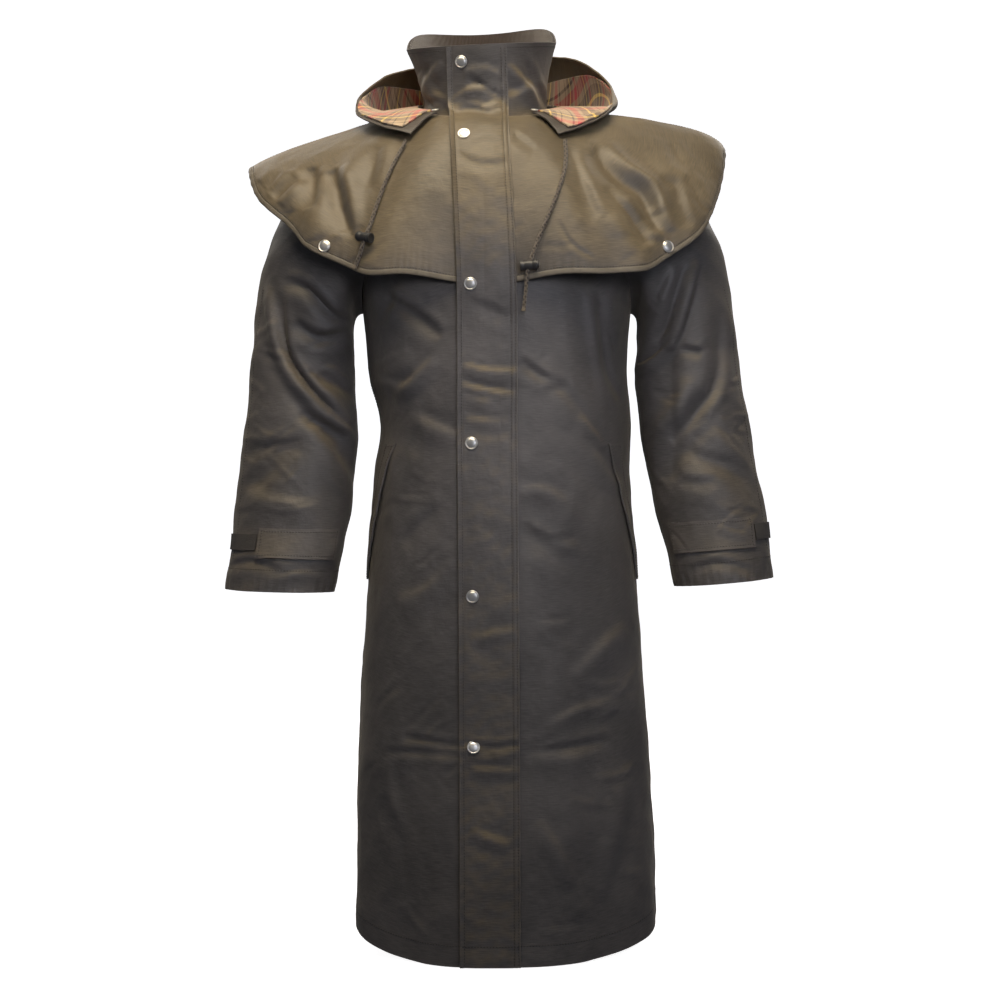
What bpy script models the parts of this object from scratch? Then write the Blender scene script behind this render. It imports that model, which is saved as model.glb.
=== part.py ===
"""A full-length cape coat in its worn, hollow form, with a shoulder cape, a stand collar and a lowered hood.

Every cloth piece is a panel bent to the garment's sections and given its wall. Metres, +Z up, the coat
faces -Y and +X is the wearer's left. The origin is between the shoulders, where the wearer carries the coat.
All angles round the body, the cape, the collar and the sleeves start at the front and grow towards +X.
"""

import math
from collections import namedtuple
from functools import partial

import bmesh
import bpy
import numpy as np
from mathutils import Vector

# Cloth and seams
CLOTH = 0.002
SEAM_GAP = 0.0005
LAY_GAP = 0.0006
WELD = 1e-5
SLOPE_STEP = 1e-3
BUMP_SHARPNESS = 2.0

# Body: reach is measured from the front opening's line, which leans a little
BodySection = namedtuple("BodySection", "height line right left front back")
BODY_SECTIONS = (
    BodySection(-1.155, -0.0065, 0.187, 0.231, 0.190, 0.208),
    BodySection(-0.990, -0.0072, 0.187, 0.226, 0.181, 0.190),
    BodySection(-0.785, -0.0085, 0.179, 0.214, 0.172, 0.165),
    BodySection(-0.630, -0.0095, 0.167, 0.204, 0.166, 0.142),
    BodySection(-0.500, -0.0105, 0.158, 0.197, 0.164, 0.126),
    BodySection(-0.440, -0.0106, 0.150, 0.199, 0.163, 0.121),
    BodySection(-0.378, -0.0110, 0.164, 0.194, 0.164, 0.124),
    BodySection(-0.285, -0.0118, 0.174, 0.199, 0.166, 0.132),
)
UNDERARM = BODY_SECTIONS[-1].height
HEM_SIDE_LIFT = 0.045
HEM_LIFT_POWER = 5
BELOW_HEM = -0.1
BODY_BOXINESS = 2.3
SHOULDER_OUT = 0.040
SHOULDER_OUT_POWER = 6
SHOULDER_DROP_RIGHT = 0.026
SHOULDER_DROP_LEFT = 0.024

# How square the upper body's meridian is, from 2 for a straight slope down to a boxy shoulder
Roundness = namedtuple("Roundness", "angle body")
BODY_ROUNDNESS = (
    Roundness(0, 1.00),
    Roundness(47, 1.22),
    Roundness(70, 0.80),
    Roundness(90, 0.62),
    Roundness(110, 0.80),
    Roundness(135, 1.10),
    Roundness(180, 0.95),
)

# Soft folds of the body: a ridge that deepens from its top down to its bottom
BODY_FOLD_GROWTH = 0.8
BodyFold = namedtuple("BodyFold", "angle width depth top bottom")
BODY_FOLDS = (
    BodyFold(-62, 17, 0.009, -0.560, -1.155),
    BodyFold(-33, 16, -0.007, -0.700, -1.155),
    BodyFold(36, 15, -0.007, -0.620, -1.155),
    BodyFold(64, 16, 0.010, -0.540, -1.155),
    BodyFold(118, 15, -0.013, -0.520, -1.155),
    BodyFold(143, 14, 0.016, -0.460, -1.155),
    BodyFold(168, 13, -0.016, -0.430, -1.155),
    BodyFold(192, 13, 0.014, -0.430, -1.155),
    BodyFold(216, 14, -0.015, -0.460, -1.155),
    BodyFold(241, 15, 0.012, -0.520, -1.155),
)

# Neckline
NECK_LINE = -0.015
NECK_HALF_WIDTH = 0.086
NECK_FRONT = 0.088
NECK_BACK = 0.078
NECK_HEIGHT_FRONT = -0.031
NECK_HEIGHT_BACK = 0.020

# Armholes, as ovals on the body's side
ARMHOLE_TOP = 0.52
ARMHOLE_HALF_ANGLE = math.radians(32)

# Sleeves, from the cuff up
SleeveSection = namedtuple("SleeveSection", "height across forward half_width half_depth tilt")
RIGHT_SLEEVE = (
    SleeveSection(-0.670, -0.2965, -0.046, 0.0745, 0.0690, 0.002),
    SleeveSection(-0.609, -0.2880, -0.032, 0.0775, 0.0720, 0.002),
    SleeveSection(-0.530, -0.2790, -0.014, 0.0805, 0.0760, 0.002),
    SleeveSection(-0.441, -0.2715, 0.000, 0.0780, 0.0755, 0.004),
    SleeveSection(-0.345, -0.2705, 0.006, 0.0705, 0.0750, 0.012),
)
LEFT_SLEEVE = (
    SleeveSection(-0.658, 0.3135, -0.046, 0.0670, 0.0680, 0.006),
    SleeveSection(-0.600, 0.3050, -0.032, 0.0720, 0.0715, 0.006),
    SleeveSection(-0.525, 0.2910, -0.014, 0.0750, 0.0755, 0.005),
    SleeveSection(-0.430, 0.2760, 0.000, 0.0757, 0.0755, 0.005),
    SleeveSection(-0.345, 0.2650, 0.006, 0.0710, 0.0750, 0.012),
)
SLEEVE_HEAD_ROWS = 6
SLEEVE_LOWER_ROWS = 10
SLEEVE_COLUMNS = 16
HEAD_THROW = 0.35
UNDERARM_THROW = 0.05
BELOW_CUFF = -0.05
SLEEVE_TOP_STRAIGHT = 0.50
HEAD_DIP = 0.12
ARMHOLE_INSET = 0.0016

# Sleeve folds: a ridge or trough that crosses the sleeve on a slant
SleeveFold = namedtuple("SleeveFold", "angle height width tall slant depth")
RIGHT_SLEEVE_FOLDS = (
    SleeveFold(10, -0.300, 40, 0.030, 0.060, -0.007),
    SleeveFold(40, -0.415, 45, 0.026, -0.070, 0.007),
    SleeveFold(45, -0.465, 40, 0.026, -0.060, -0.007),
    SleeveFold(-30, -0.512, 45, 0.028, 0.050, -0.005),
    SleeveFold(190, -0.440, 55, 0.030, 0.040, -0.007),
    SleeveFold(170, -0.500, 55, 0.030, -0.040, 0.006),
)
LEFT_SLEEVE_FOLDS = (
    SleeveFold(5, -0.290, 40, 0.034, -0.060, -0.007),
    SleeveFold(-25, -0.420, 40, 0.030, 0.080, 0.006),
    SleeveFold(-20, -0.470, 45, 0.030, 0.070, -0.007),
    SleeveFold(25, -0.505, 45, 0.026, -0.040, -0.006),
    SleeveFold(175, -0.430, 55, 0.030, 0.040, -0.007),
    SleeveFold(190, -0.500, 55, 0.030, -0.040, 0.006),
)

# Cape: its lower edge by angle, and how round it falls from the neck to that edge
CapeEdge = namedtuple("CapeEdge", "angle reach height roundness")
CAPE_RIGHT = (
    CapeEdge(0, 0.1730, -0.258, 1.05),
    CapeEdge(14, 0.1760, -0.254, 1.08),
    CapeEdge(30, 0.2020, -0.245, 1.25),
    CapeEdge(45, 0.2260, -0.243, 1.42),
    CapeEdge(56, 0.2450, -0.222, 1.38),
    CapeEdge(68, 0.2740, -0.185, 1.42),
    CapeEdge(79, 0.3120, -0.134, 1.50),
    CapeEdge(90, 0.3260, -0.081, 1.66),
    CapeEdge(102, 0.3180, -0.104, 1.55),
    CapeEdge(118, 0.2880, -0.172, 1.42),
    CapeEdge(140, 0.2420, -0.240, 1.30),
    CapeEdge(160, 0.2080, -0.274, 1.15),
    CapeEdge(180, 0.1960, -0.284, 1.08),
)
CAPE_LEFT = (
    CapeEdge(0, 0.1730, -0.258, 1.05),
    CapeEdge(14, 0.1770, -0.254, 1.08),
    CapeEdge(30, 0.2060, -0.245, 1.25),
    CapeEdge(45, 0.2380, -0.243, 1.42),
    CapeEdge(56, 0.2660, -0.234, 1.38),
    CapeEdge(68, 0.2990, -0.192, 1.38),
    CapeEdge(79, 0.3230, -0.128, 1.24),
    CapeEdge(90, 0.3340, -0.054, 1.08),
    CapeEdge(102, 0.3220, -0.084, 1.24),
    CapeEdge(118, 0.2880, -0.165, 1.42),
    CapeEdge(140, 0.2420, -0.238, 1.30),
    CapeEdge(160, 0.2080, -0.274, 1.15),
    CapeEdge(180, 0.1960, -0.284, 1.08),
)
CAPE_NECK_OUT = 0.0052
CAPE_NECK_UP = 0.0025
CAPE_FRONT_ANGLE = 11.0
CAPE_ROWS = 8
CAPE_FRONT_COLUMNS = 15
CAPE_BACK_COLUMNS = 22

# Cape folds run from the neck out to the edge, deepest at the edge
CAPE_FOLD_FADE = 1.5
CapeFold = namedtuple("CapeFold", "angle width depth")
CAPE_FOLDS = (
    CapeFold(-72, 8, -0.007),
    CapeFold(-62, 7, 0.007),
    CapeFold(-51, 7, -0.006),
    CapeFold(-38, 9, 0.003),
    CapeFold(38, 9, 0.003),
    CapeFold(52, 6, 0.007),
    CapeFold(62, 6, -0.005),
    CapeFold(71, 7, 0.006),
    CapeFold(112, 9, -0.008),
    CapeFold(130, 9, 0.008),
    CapeFold(152, 10, -0.004),
    CapeFold(205, 10, -0.004),
    CapeFold(228, 9, 0.008),
    CapeFold(246, 9, -0.008),
)
BINDING_THICK = 0.0031
BINDING_WIDE = 0.0075
BINDING_GAP = 0.0010
BINDING_SLOPE_SHARE = 0.02

# Collar
COLLAR_LINE = -0.0205
COLLAR_HALF_WIDTH = 0.1040
COLLAR_FRONT = 0.0980
COLLAR_BACK = 0.0880
COLLAR_TOP_FRONT = 0.0690
COLLAR_TOP_SIDE = 0.0890
COLLAR_TOP_BACK = 0.1260
COLLAR_TOP_TILT = 0.0050
COLLAR_BACK_FULLNESS = 2.4
COLLAR_PINCH = 0.0030
COLLAR_FLARE = 1.3
COLLAR_ABOVE = 1.05
COLLAR_OPENING = 0.5
COLLAR_ROWS = 4
COLLAR_COLUMNS = 28
LINING_STEP = 0.0026
COLLAR_LINING_LOW = 0.03
COLLAR_LINING_HIGH = 0.975

# Hood, lowered: its rim by angle, the bottom of its bag as a share of the cape from edge to neck,
# and its swell
HoodSection = namedtuple("HoodSection", "angle reach height bottom bulge")
HOOD_SECTIONS = (
    HoodSection(43, 0.1460, -0.0545, 0.800, 0.000),
    HoodSection(60, 0.1630, -0.0380, 0.770, 0.000),
    HoodSection(74, 0.1790, -0.0170, 0.760, 0.003),
    HoodSection(87, 0.1810, 0.0060, 0.750, 0.006),
    HoodSection(97, 0.1800, 0.0320, 0.730, 0.009),
    HoodSection(112, 0.1600, 0.0680, 0.660, 0.018),
    HoodSection(133, 0.1430, 0.0880, 0.520, 0.026),
    HoodSection(155, 0.1340, 0.0950, 0.390, 0.036),
    HoodSection(180, 0.1300, 0.0960, 0.310, 0.040),
)
HOOD_LEAN = 0.006
HOOD_TILT = 0.011
HOOD_TILT_FROM = -0.054
HOOD_TILT_OVER = 0.100
HOOD_FRONT_ANGLE = 43.0
HOOD_SEAM = 0.955
HOOD_STAND = 0.0027
HOOD_LIFT = 0.004
HOOD_SWELL_POWER = 0.8
HOOD_INNER_ROWS = 5
HOOD_OUTER_ROWS = 6
HOOD_COLUMNS = 26
HOOD_FACING_ROWS = 2
HOOD_LINING_STEP = 0.0030

# Storm flap over the front opening: its left edge is sewn down, its right edge closes with snaps
FlapLine = namedtuple("FlapLine", "height middle")
FLAP_LINES = (
    FlapLine(-1.160, -0.0065),
    FlapLine(-0.870, -0.0078),
    FlapLine(-0.470, -0.0105),
    FlapLine(-0.260, -0.0118),
    FlapLine(-0.050, -0.0215),
    FlapLine(0.075, -0.0258),
)
FLAP_WIDTH = 0.078
FLAP_LIFT = CLOTH + 0.0011
FLAP_COLUMNS = 4
FLAP_BELOW_CAPE = -0.305
FLAP_BELOW_BINDING = -0.014
FLAP_ON_COLLAR = (0.12, 0.99)
FLAP_SEARCH_ANGLE = 40
FLAP_SEARCH_POINTS = 81

# Snaps
SNAP_RADIUS = 0.0084
SNAP_HEIGHT = 0.0034
SNAP_SIDES = 12
SNAP_DOME = 0.7
SNAP_PROFILE = 0.6
SNAP_SLOPE_SHARE = 0.05
SNAP_IN_FROM_EDGE = 0.0175
FLAP_SNAP_HEIGHTS = (0.047, -0.058, -0.261, -0.470, -0.672, -0.871)
CAPE_SNAP_SHARE = 0.065
CapeSnap = namedtuple("CapeSnap", "side angle seat")
CAPE_SNAPS = (
    CapeSnap(-1, -58.0, 0.0001),
    CapeSnap(1, 62.0, 0.0012),
)
HOOD_SNAP_RADIUS = 0.0050
HOOD_SNAP_HEIGHT = 0.0024
HOOD_SNAP_ANGLE = 43.0
HOOD_SNAP_ROW = 0.16

# Pocket welts, from the top to the bottom of each slanted mouth
POCKET_TOP_HEIGHT = -0.470
POCKET_BOTTOM_HEIGHT = -0.655
POCKET_TOP_ANGLE = 52.0
POCKET_BOTTOM_ANGLE = 77.0
WELT_WIDE_ANGLE = 10.0
WELT_ROWS = 9
WELT_COLUMNS = 5
WELT_LIFT = CLOTH + 0.0007

# Cuff tabs and the hook tape that they close on
TAB_HEIGHT = 0.041
TAB_MIDDLE = 0.065
RIGHT_TAB_SPAN = (-62.0, 26.0)
LEFT_TAB_SPAN = (-62.0, 38.0)
TAPE_HEIGHT = 0.022
TAPE_FROM_TAB = 2.0
TAPE_END = 86.0
TAPE_WALL = 0.0015
CUFF_LAY_GAP = 0.0009

# Hood drawcords: stations down the cape as shares from edge to neck, with the angle and the height
# over the cloth
CordStation = namedtuple("CordStation", "share angle over")
RIGHT_CORD = (
    CordStation(0.648, -45.6, 0.0066),
    CordStation(0.610, -45.6, 0.0045),
    CordStation(0.450, -45.3, 0.0039),
    CordStation(0.280, -45.0, 0.0040),
    CordStation(0.195, -44.8, 0.0095),
)
RIGHT_TAIL = (
    CordStation(0.195, -44.8, 0.0095),
    CordStation(0.110, -46.0, 0.0060),
    CordStation(0.030, -47.5, 0.0042),
)
LEFT_CORD = (
    CordStation(0.648, 45.0, 0.0066),
    CordStation(0.610, 43.0, 0.0046),
    CordStation(0.430, 34.0, 0.0040),
    CordStation(0.200, 24.0, 0.0042),
    CordStation(0.045, 19.0, 0.0100),
)
LEFT_TAIL = (
    CordStation(0.045, 19.0, 0.0100),
    CordStation(-0.010, 18.0, 0.0082),
    CordStation(-0.042, 17.0, 0.0066),
)
CORD_RADIUS = 0.0025
CORD_SPACING = 0.0110
CORD_FINE_POINTS = 60
CORD_TRIM_STEP = 0.0005
LOCK_LENGTH = 0.026
LOCK_RADIUS = 0.0068
LOCK_SIDES = 12
LOCK_ROUNDING = 0.2
CORD_CLEAR = 0.0012
TAIL_CLEAR = 0.0006
LOCK_TURN = 0.06

# Rows and columns of the body's panels
BODY_ROWS = 11
ARMHOLE_ROWS = 8
SHOULDER_ROWS = 4
FRONT_COLUMNS = 9
BACK_COLUMNS = 18

RIGHT, LEFT = -1, 1
SIDE_NAMES = {RIGHT: "right", LEFT: "left"}


def column(table, name):
    return np.array([getattr(row, name) for row in table], float)


def spline(at, knots, values):
    """A smooth curve through one column of a table."""
    order = np.argsort(knots)
    knots, values = np.asarray(knots, float)[order], np.asarray(values, float)[order]
    slopes = np.gradient(values, knots)
    at = np.clip(at, knots[0], knots[-1])
    i = np.clip(np.searchsorted(knots, at) - 1, 0, len(knots) - 2)
    span = knots[i + 1] - knots[i]
    t = (at - knots[i]) / span
    return (
        (1 + 2 * t) * (1 - t) ** 2 * values[i]
        + t * (1 - t) ** 2 * span * slopes[i]
        + t**2 * (3 - 2 * t) * values[i + 1]
        + t**2 * (t - 1) * span * slopes[i + 1]
    )


def table_at(table, key, name, at):
    return spline(at, column(table, key), column(table, name))


def turned(angle):
    """An angle in radians, brought to -pi..pi."""
    return (angle + math.pi) % (2 * math.pi) - math.pi


def bump(distance, width):
    """A soft hump, 1 at its middle and 0 at twice its width."""
    return np.exp(-((distance / width) ** 2) * BUMP_SHARPNESS)


def outward(surface, rows, angles):
    """Unit normals of a surface of (row, angle), facing out of the garment."""
    along = surface(rows, angles + SLOPE_STEP) - surface(rows, angles - SLOPE_STEP)
    up = surface(rows + SLOPE_STEP, angles) - surface(rows - SLOPE_STEP, angles)
    normal = np.cross(along, up)
    return normal / np.linalg.norm(normal, axis=-1, keepdims=True)


def lifted(surface, rows, angles, distance):
    """Points of a surface moved out of it by a distance."""
    return surface(rows, angles) + outward(surface, rows, angles) * np.asarray(distance)[..., None]


def faceted(surface, rows, angles):
    """The same surface with flat faces between the given rows and angles, as a panel's mesh has it."""
    corners = surface(*grid(rows, angles))

    def point(row, angle):
        row, angle = np.broadcast_arrays(np.asarray(row, float), np.asarray(angle, float))
        i = np.clip(np.searchsorted(rows, row) - 1, 0, len(rows) - 2)
        j = np.clip(np.searchsorted(angles, angle) - 1, 0, len(angles) - 2)
        up = ((row - rows[i]) / (rows[i + 1] - rows[i]))[..., None]
        along = ((angle - angles[j]) / (angles[j + 1] - angles[j]))[..., None]
        low = corners[i, j] * (1 - along) + corners[i, j + 1] * along
        high = corners[i + 1, j] * (1 - along) + corners[i + 1, j + 1] * along
        return low * (1 - up) + high * up

    return point


# Garment surfaces


def ring_point(height, angle):
    """The body's section at a height, with its folds."""
    line, right, left, front, back = (
        table_at(BODY_SECTIONS, "height", name, height) for name in ("line", "right", "left", "front", "back")
    )
    s, c = np.sin(angle), np.cos(angle)
    power = 2 / BODY_BOXINESS
    x = np.where(s < 0, right, left) * np.sign(s) * np.abs(s) ** power
    y = -np.where(c > 0, front, back) * np.sign(c) * np.abs(c) ** power
    swell = np.zeros_like(x)
    for fold in BODY_FOLDS:
        grown = np.clip((fold.top - height) / (fold.top - fold.bottom), 0, 1)
        away = np.degrees(np.abs(turned(angle - math.radians(fold.angle))))
        swell = swell + fold.depth * grown**BODY_FOLD_GROWTH * bump(away, fold.width)
    radius = np.hypot(x, y)
    return np.stack([line + x * (1 + swell / radius), y * (1 + swell / radius), height + 0 * x], axis=-1)


def neck_point(angle):
    s, c = np.sin(angle), np.cos(angle)
    middle = (NECK_HEIGHT_FRONT + NECK_HEIGHT_BACK) / 2
    swing = (NECK_HEIGHT_FRONT - NECK_HEIGHT_BACK) / 2
    y = -np.where(c > 0, NECK_FRONT, NECK_BACK) * c
    return np.stack([NECK_LINE + NECK_HALF_WIDTH * s, y, middle + swing * c], axis=-1)


def body_point(level, angle):
    """Level 0 is the hem, 1 the underarm and 2 the neckline."""
    level, angle = np.broadcast_arrays(np.asarray(level, float), np.asarray(angle, float))
    hem = BODY_SECTIONS[0].height + HEM_SIDE_LIFT * np.abs(np.sin(angle)) ** HEM_LIFT_POWER
    height = hem + np.clip(level, BELOW_HEM, 1) * (UNDERARM - hem)
    lower = ring_point(height, angle)
    climb = np.clip(level - 1, 0, 1) * math.pi / 2
    neck = neck_point(angle)
    power = table_at(BODY_ROUNDNESS, "angle", "body", np.degrees(np.abs(turned(angle))))[..., None]
    far = np.clip(np.cos(climb), 0, 1)[..., None] ** power
    high = np.sin(climb)[..., None] ** power
    plan = neck[..., :2] + (lower - neck)[..., :2] * far
    rise = lower[..., 2:] + (neck - lower)[..., 2:] * high
    upper = np.concatenate([plan, rise], axis=-1)
    side = np.sin(angle)
    corner = np.sin(2 * climb)
    drop = np.where(side < 0, SHOULDER_DROP_RIGHT, SHOULDER_DROP_LEFT)
    upper[..., 0] += SHOULDER_OUT * corner * np.sign(side) * side**SHOULDER_OUT_POWER
    upper[..., 2] -= drop * corner * side**2
    return np.where((level <= 1)[..., None], lower, upper)


def armhole_place(side, turn):
    """Level and angle on the body of a place round an armhole, from the underarm by way of the front."""
    level = 1 + ARMHOLE_TOP * (1 - np.cos(turn)) / 2
    return level, side * (math.pi / 2 - ARMHOLE_HALF_ANGLE * np.sin(turn))


def sleeve_ring(side, height, angle):
    """A section of the sleeve below its head, with its folds."""
    table = RIGHT_SLEEVE if side == RIGHT else LEFT_SLEEVE
    folds = RIGHT_SLEEVE_FOLDS if side == RIGHT else LEFT_SLEEVE_FOLDS
    across, forward, wide, deep, tilt = (
        table_at(table, "height", name, height)
        for name in ("across", "forward", "half_width", "half_depth", "tilt")
    )
    swell = np.zeros(np.broadcast(height, angle).shape)
    for fold in folds:
        away = turned(angle - math.radians(fold.angle))
        slid = height - fold.height - fold.slant * away
        swell = swell + fold.depth * bump(np.degrees(away), fold.width) * bump(slid, fold.tall)
    x = across + (wide + swell) * np.sin(angle)
    y = forward - (deep + swell) * np.cos(angle)
    return np.stack(np.broadcast_arrays(x, y, height + side * tilt * np.sin(angle)), axis=-1)


def sleeve_point(side, row, angle):
    """Row 0 is the cuff, 1 the end of the straight sleeve and 2 the armhole."""
    row, angle = np.broadcast_arrays(np.asarray(row, float), np.asarray(angle, float))
    table = RIGHT_SLEEVE if side == RIGHT else LEFT_SLEEVE
    cuff, top = table[0].height, table[-1].height
    lower = sleeve_ring(side, cuff + np.clip(row, BELOW_CUFF, 1) * (top - cuff), angle)
    turn = math.pi / 2 + side * angle
    level, body_angle = armhole_place(side, turn)
    hole = body_point(level, body_angle)
    middle = (body_point(1.0, side * math.pi / 2) + body_point(1 + ARMHOLE_TOP, side * math.pi / 2)) / 2
    inward = middle - hole
    start = hole + inward / np.linalg.norm(inward, axis=-1, keepdims=True) * ARMHOLE_INSET
    start = start + np.array([side * ARMHOLE_INSET, 0, 0])
    s = np.clip(row - 1, 0, 1)[..., None]
    lift = ((1 - np.cos(turn)) / 2)[..., None]
    throw = UNDERARM_THROW + (HEAD_THROW - UNDERARM_THROW) * lift
    leave = throw * np.array([side, 0, -HEAD_DIP])
    arrive = throw * np.array([0, 0, SLEEVE_TOP_STRAIGHT])
    head = (
        (1 + 2 * s) * (1 - s) ** 2 * lower
        + s * (1 - s) ** 2 * arrive
        + s**2 * (3 - 2 * s) * start
        - s**2 * (s - 1) * leave
    )
    return np.where((row <= 1)[..., None], lower, head)


def cape_point(share, angle):
    """Share 0 is the cape's lower edge and 1 its neck seam; below 0 it runs on straight down."""
    share, angle = np.broadcast_arrays(np.asarray(share, float), np.asarray(angle, float))
    degrees = np.degrees(np.abs(turned(angle)))
    rightward = np.sin(angle) < 0
    sides = [
        [table_at(table, "angle", name, degrees) for name in ("reach", "height", "roundness")]
        for table in (CAPE_RIGHT, CAPE_LEFT)
    ]
    reach, height, power = (np.where(rightward, right, left) for right, left in zip(*sides))
    climb = np.clip(share, 0, 1) * math.pi / 2
    far = np.clip(np.cos(climb), 0, 1) ** power
    high = np.sin(climb) ** power
    swell = np.zeros_like(reach)
    for fold in CAPE_FOLDS:
        away = np.degrees(np.abs(turned(angle - math.radians(fold.angle))))
        swell = swell + fold.depth * bump(away, fold.width)
    reach = reach + swell * far**CAPE_FOLD_FADE
    neck = neck_point(angle)
    s, c = np.sin(angle), np.cos(angle)
    x = neck[..., 0] + CAPE_NECK_OUT * s
    y = neck[..., 1] - CAPE_NECK_OUT * c
    z = neck[..., 2] + CAPE_NECK_UP
    x = x + (NECK_LINE + reach * s - x) * far
    y = y + (-reach * c - y) * far
    z = height + (z - height) * high + np.minimum(share, 0)
    return np.stack([x, y, z], axis=-1)


def collar_point(share, angle):
    """Share 0 is the neck seam and 1 the collar's top edge."""
    share, angle = np.broadcast_arrays(np.asarray(share, float), np.asarray(angle, float))
    s, c = np.sin(angle), np.cos(angle)
    base = neck_point(angle) + np.array([0, 0, CLOTH / 2 + LAY_GAP])
    rise = 1 - (1 - np.clip(-c, 0, 1)) ** COLLAR_BACK_FULLNESS
    top_height = COLLAR_TOP_SIDE + COLLAR_TOP_TILT * s
    top_height = top_height + (COLLAR_TOP_FRONT - COLLAR_TOP_SIDE) * np.clip(c, 0, 1)
    top_height = top_height + (COLLAR_TOP_BACK - COLLAR_TOP_SIDE) * rise
    depth = np.where(c > 0, COLLAR_FRONT, COLLAR_BACK)
    top = np.stack([COLLAR_LINE + COLLAR_HALF_WIDTH * s, -depth * c, top_height], axis=-1)
    out = np.clip(share, 0, COLLAR_ABOVE)[..., None]
    points = base + (top - base) * np.concatenate([out**COLLAR_FLARE, out**COLLAR_FLARE, out], axis=-1)
    pinch = COLLAR_PINCH * np.sin(math.pi * np.clip(share, 0, 1))
    points[..., 0] -= pinch * s
    points[..., 1] += pinch * c
    return points


def hood_point(row, angle):
    """Row 0 is the hood's neck seam, 1 the bottom of its bag and 2 its rim."""
    row, angle = np.broadcast_arrays(np.asarray(row, float), np.asarray(angle, float))
    degrees = np.degrees(np.abs(turned(angle)))
    reach, height, bottom, bulge = (
        table_at(HOOD_SECTIONS, "angle", name, degrees) for name in ("reach", "height", "bottom", "bulge")
    )
    raised = np.clip((height - HOOD_TILT_FROM) / HOOD_TILT_OVER, 0, 1)
    height = height + HOOD_TILT * np.sin(angle) * raised
    reach = reach - HOOD_LEAN * (1 + np.sin(angle)) / 2 * raised
    inner_row = np.clip(row, 0, 1)
    share = HOOD_SEAM + (bottom - HOOD_SEAM) * inner_row
    stand = HOOD_STAND + CLOTH / 2
    inner = lifted(cape_point, share, angle, stand + HOOD_LIFT * inner_row)
    low = lifted(cape_point, bottom, angle, stand + HOOD_LIFT)
    high = np.stack([NECK_LINE + reach * np.sin(angle), -reach * np.cos(angle), height], axis=-1)
    out = np.stack([np.sin(angle), -np.cos(angle), 0 * angle], axis=-1)
    climb = np.clip(row - 1, 0, 1)[..., None]
    swell = np.sin(math.pi * climb) ** HOOD_SWELL_POWER * bulge[..., None]
    outer = low + (high - low) * climb + out * swell
    return np.where((row <= 1)[..., None], inner, outer)


# Making solids


def finish(name, colour, roughness, metallic=0.0):
    material = bpy.data.materials.new(name)
    material.use_nodes = True
    shader = material.node_tree.nodes["Principled BSDF"]
    shader.inputs["Base Color"].default_value = (*colour, 1.0)
    shader.inputs["Roughness"].default_value = roughness
    shader.inputs["Metallic"].default_value = metallic
    material.diffuse_color = (*colour, 1.0)
    return material


def add_to_coat(obj, name, material):
    obj.name = name
    obj.data.name = name
    obj.data.materials.append(material)
    for collection in list(obj.users_collection):
        collection.objects.unlink(obj)
    COAT.objects.link(obj)
    return obj


def cloth(name, points, material, thickness=CLOTH, closed=False):
    """One cut panel: a flat grid bent to its points, closed round if it is a sleeve, and given its wall."""
    rows, columns = points.shape[:2]
    bpy.ops.mesh.primitive_grid_add(x_subdivisions=columns - 1, y_subdivisions=rows - 1)
    panel = bpy.context.object
    panel.data.vertices.foreach_set("co", points.astype(np.float32).ravel())
    if closed:
        mesh = bmesh.new()
        mesh.from_mesh(panel.data)
        bmesh.ops.remove_doubles(mesh, verts=mesh.verts, dist=WELD)
        mesh.to_mesh(panel.data)
        mesh.free()
    panel.data.shade_smooth()
    wall = panel.modifiers.new("wall", "SOLIDIFY")
    wall.thickness = thickness
    wall.offset = 0.0
    return add_to_coat(panel, name, material)


def snap(name, place, normal, radius, height, material):
    """A domed snap cap that sits on the cloth, facing along the normal."""
    bpy.ops.mesh.primitive_cylinder_add(vertices=SNAP_SIDES, radius=radius, depth=height)
    cap = bpy.context.object
    mesh = bmesh.new()
    mesh.from_mesh(cap.data)
    rim = [e for e in mesh.edges if all(v.co.z > 0 for v in e.verts)]
    round_off = height * SNAP_DOME
    bmesh.ops.bevel(mesh, geom=rim, offset=round_off, segments=2, profile=SNAP_PROFILE, affect="EDGES")
    mesh.to_mesh(cap.data)
    mesh.free()
    cap.data.shade_smooth()
    axis = vector(normal)
    cap.rotation_mode = "QUATERNION"
    cap.rotation_quaternion = axis.to_track_quat("Z", "Y")
    cap.location = vector(place) + axis * (height / 2)
    return add_to_coat(cap, name, material)


def vector(values):
    return Vector([float(v) for v in values])


def tube(name, line, radius, material):
    """A round cord along a line of points."""
    curve = bpy.data.curves.new(name, "CURVE")
    curve.dimensions = "3D"
    curve.bevel_depth = radius
    curve.bevel_resolution = 2
    curve.use_fill_caps = True
    spline_line = curve.splines.new("POLY")
    spline_line.points.add(len(line) - 1)
    for point, place in zip(spline_line.points, line):
        point.co = (*place, 1.0)
    cord = bpy.data.objects.new(name, curve)
    bpy.context.scene.collection.objects.link(cord)
    return add_to_coat(cord, name, material)


def grid(row_values, angle_values):
    """Every row with every angle."""
    return np.meshgrid(np.asarray(row_values, float), np.asarray(angle_values, float), indexing="ij")


# The coat's pieces


def body_levels():
    lower = np.linspace(0, 1, BODY_ROWS + 1)[:-1]
    round_arm = np.linspace(0, math.pi, ARMHOLE_ROWS + 1)
    armhole = 1 + ARMHOLE_TOP * (1 - np.cos(round_arm)) / 2
    shoulder = np.linspace(1 + ARMHOLE_TOP, 2, SHOULDER_ROWS + 1)[1:]
    return np.concatenate([lower, armhole, shoulder])


def side_angle(levels):
    """How far from the side line a panel stops: at the side seam, round the armhole or at the shoulder."""
    reach = np.clip((levels - 1) / ARMHOLE_TOP, 0, 1)
    return ARMHOLE_HALF_ANGLE * np.sqrt(np.clip(1 - (2 * reach - 1) ** 2, 0, 1))


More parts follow.
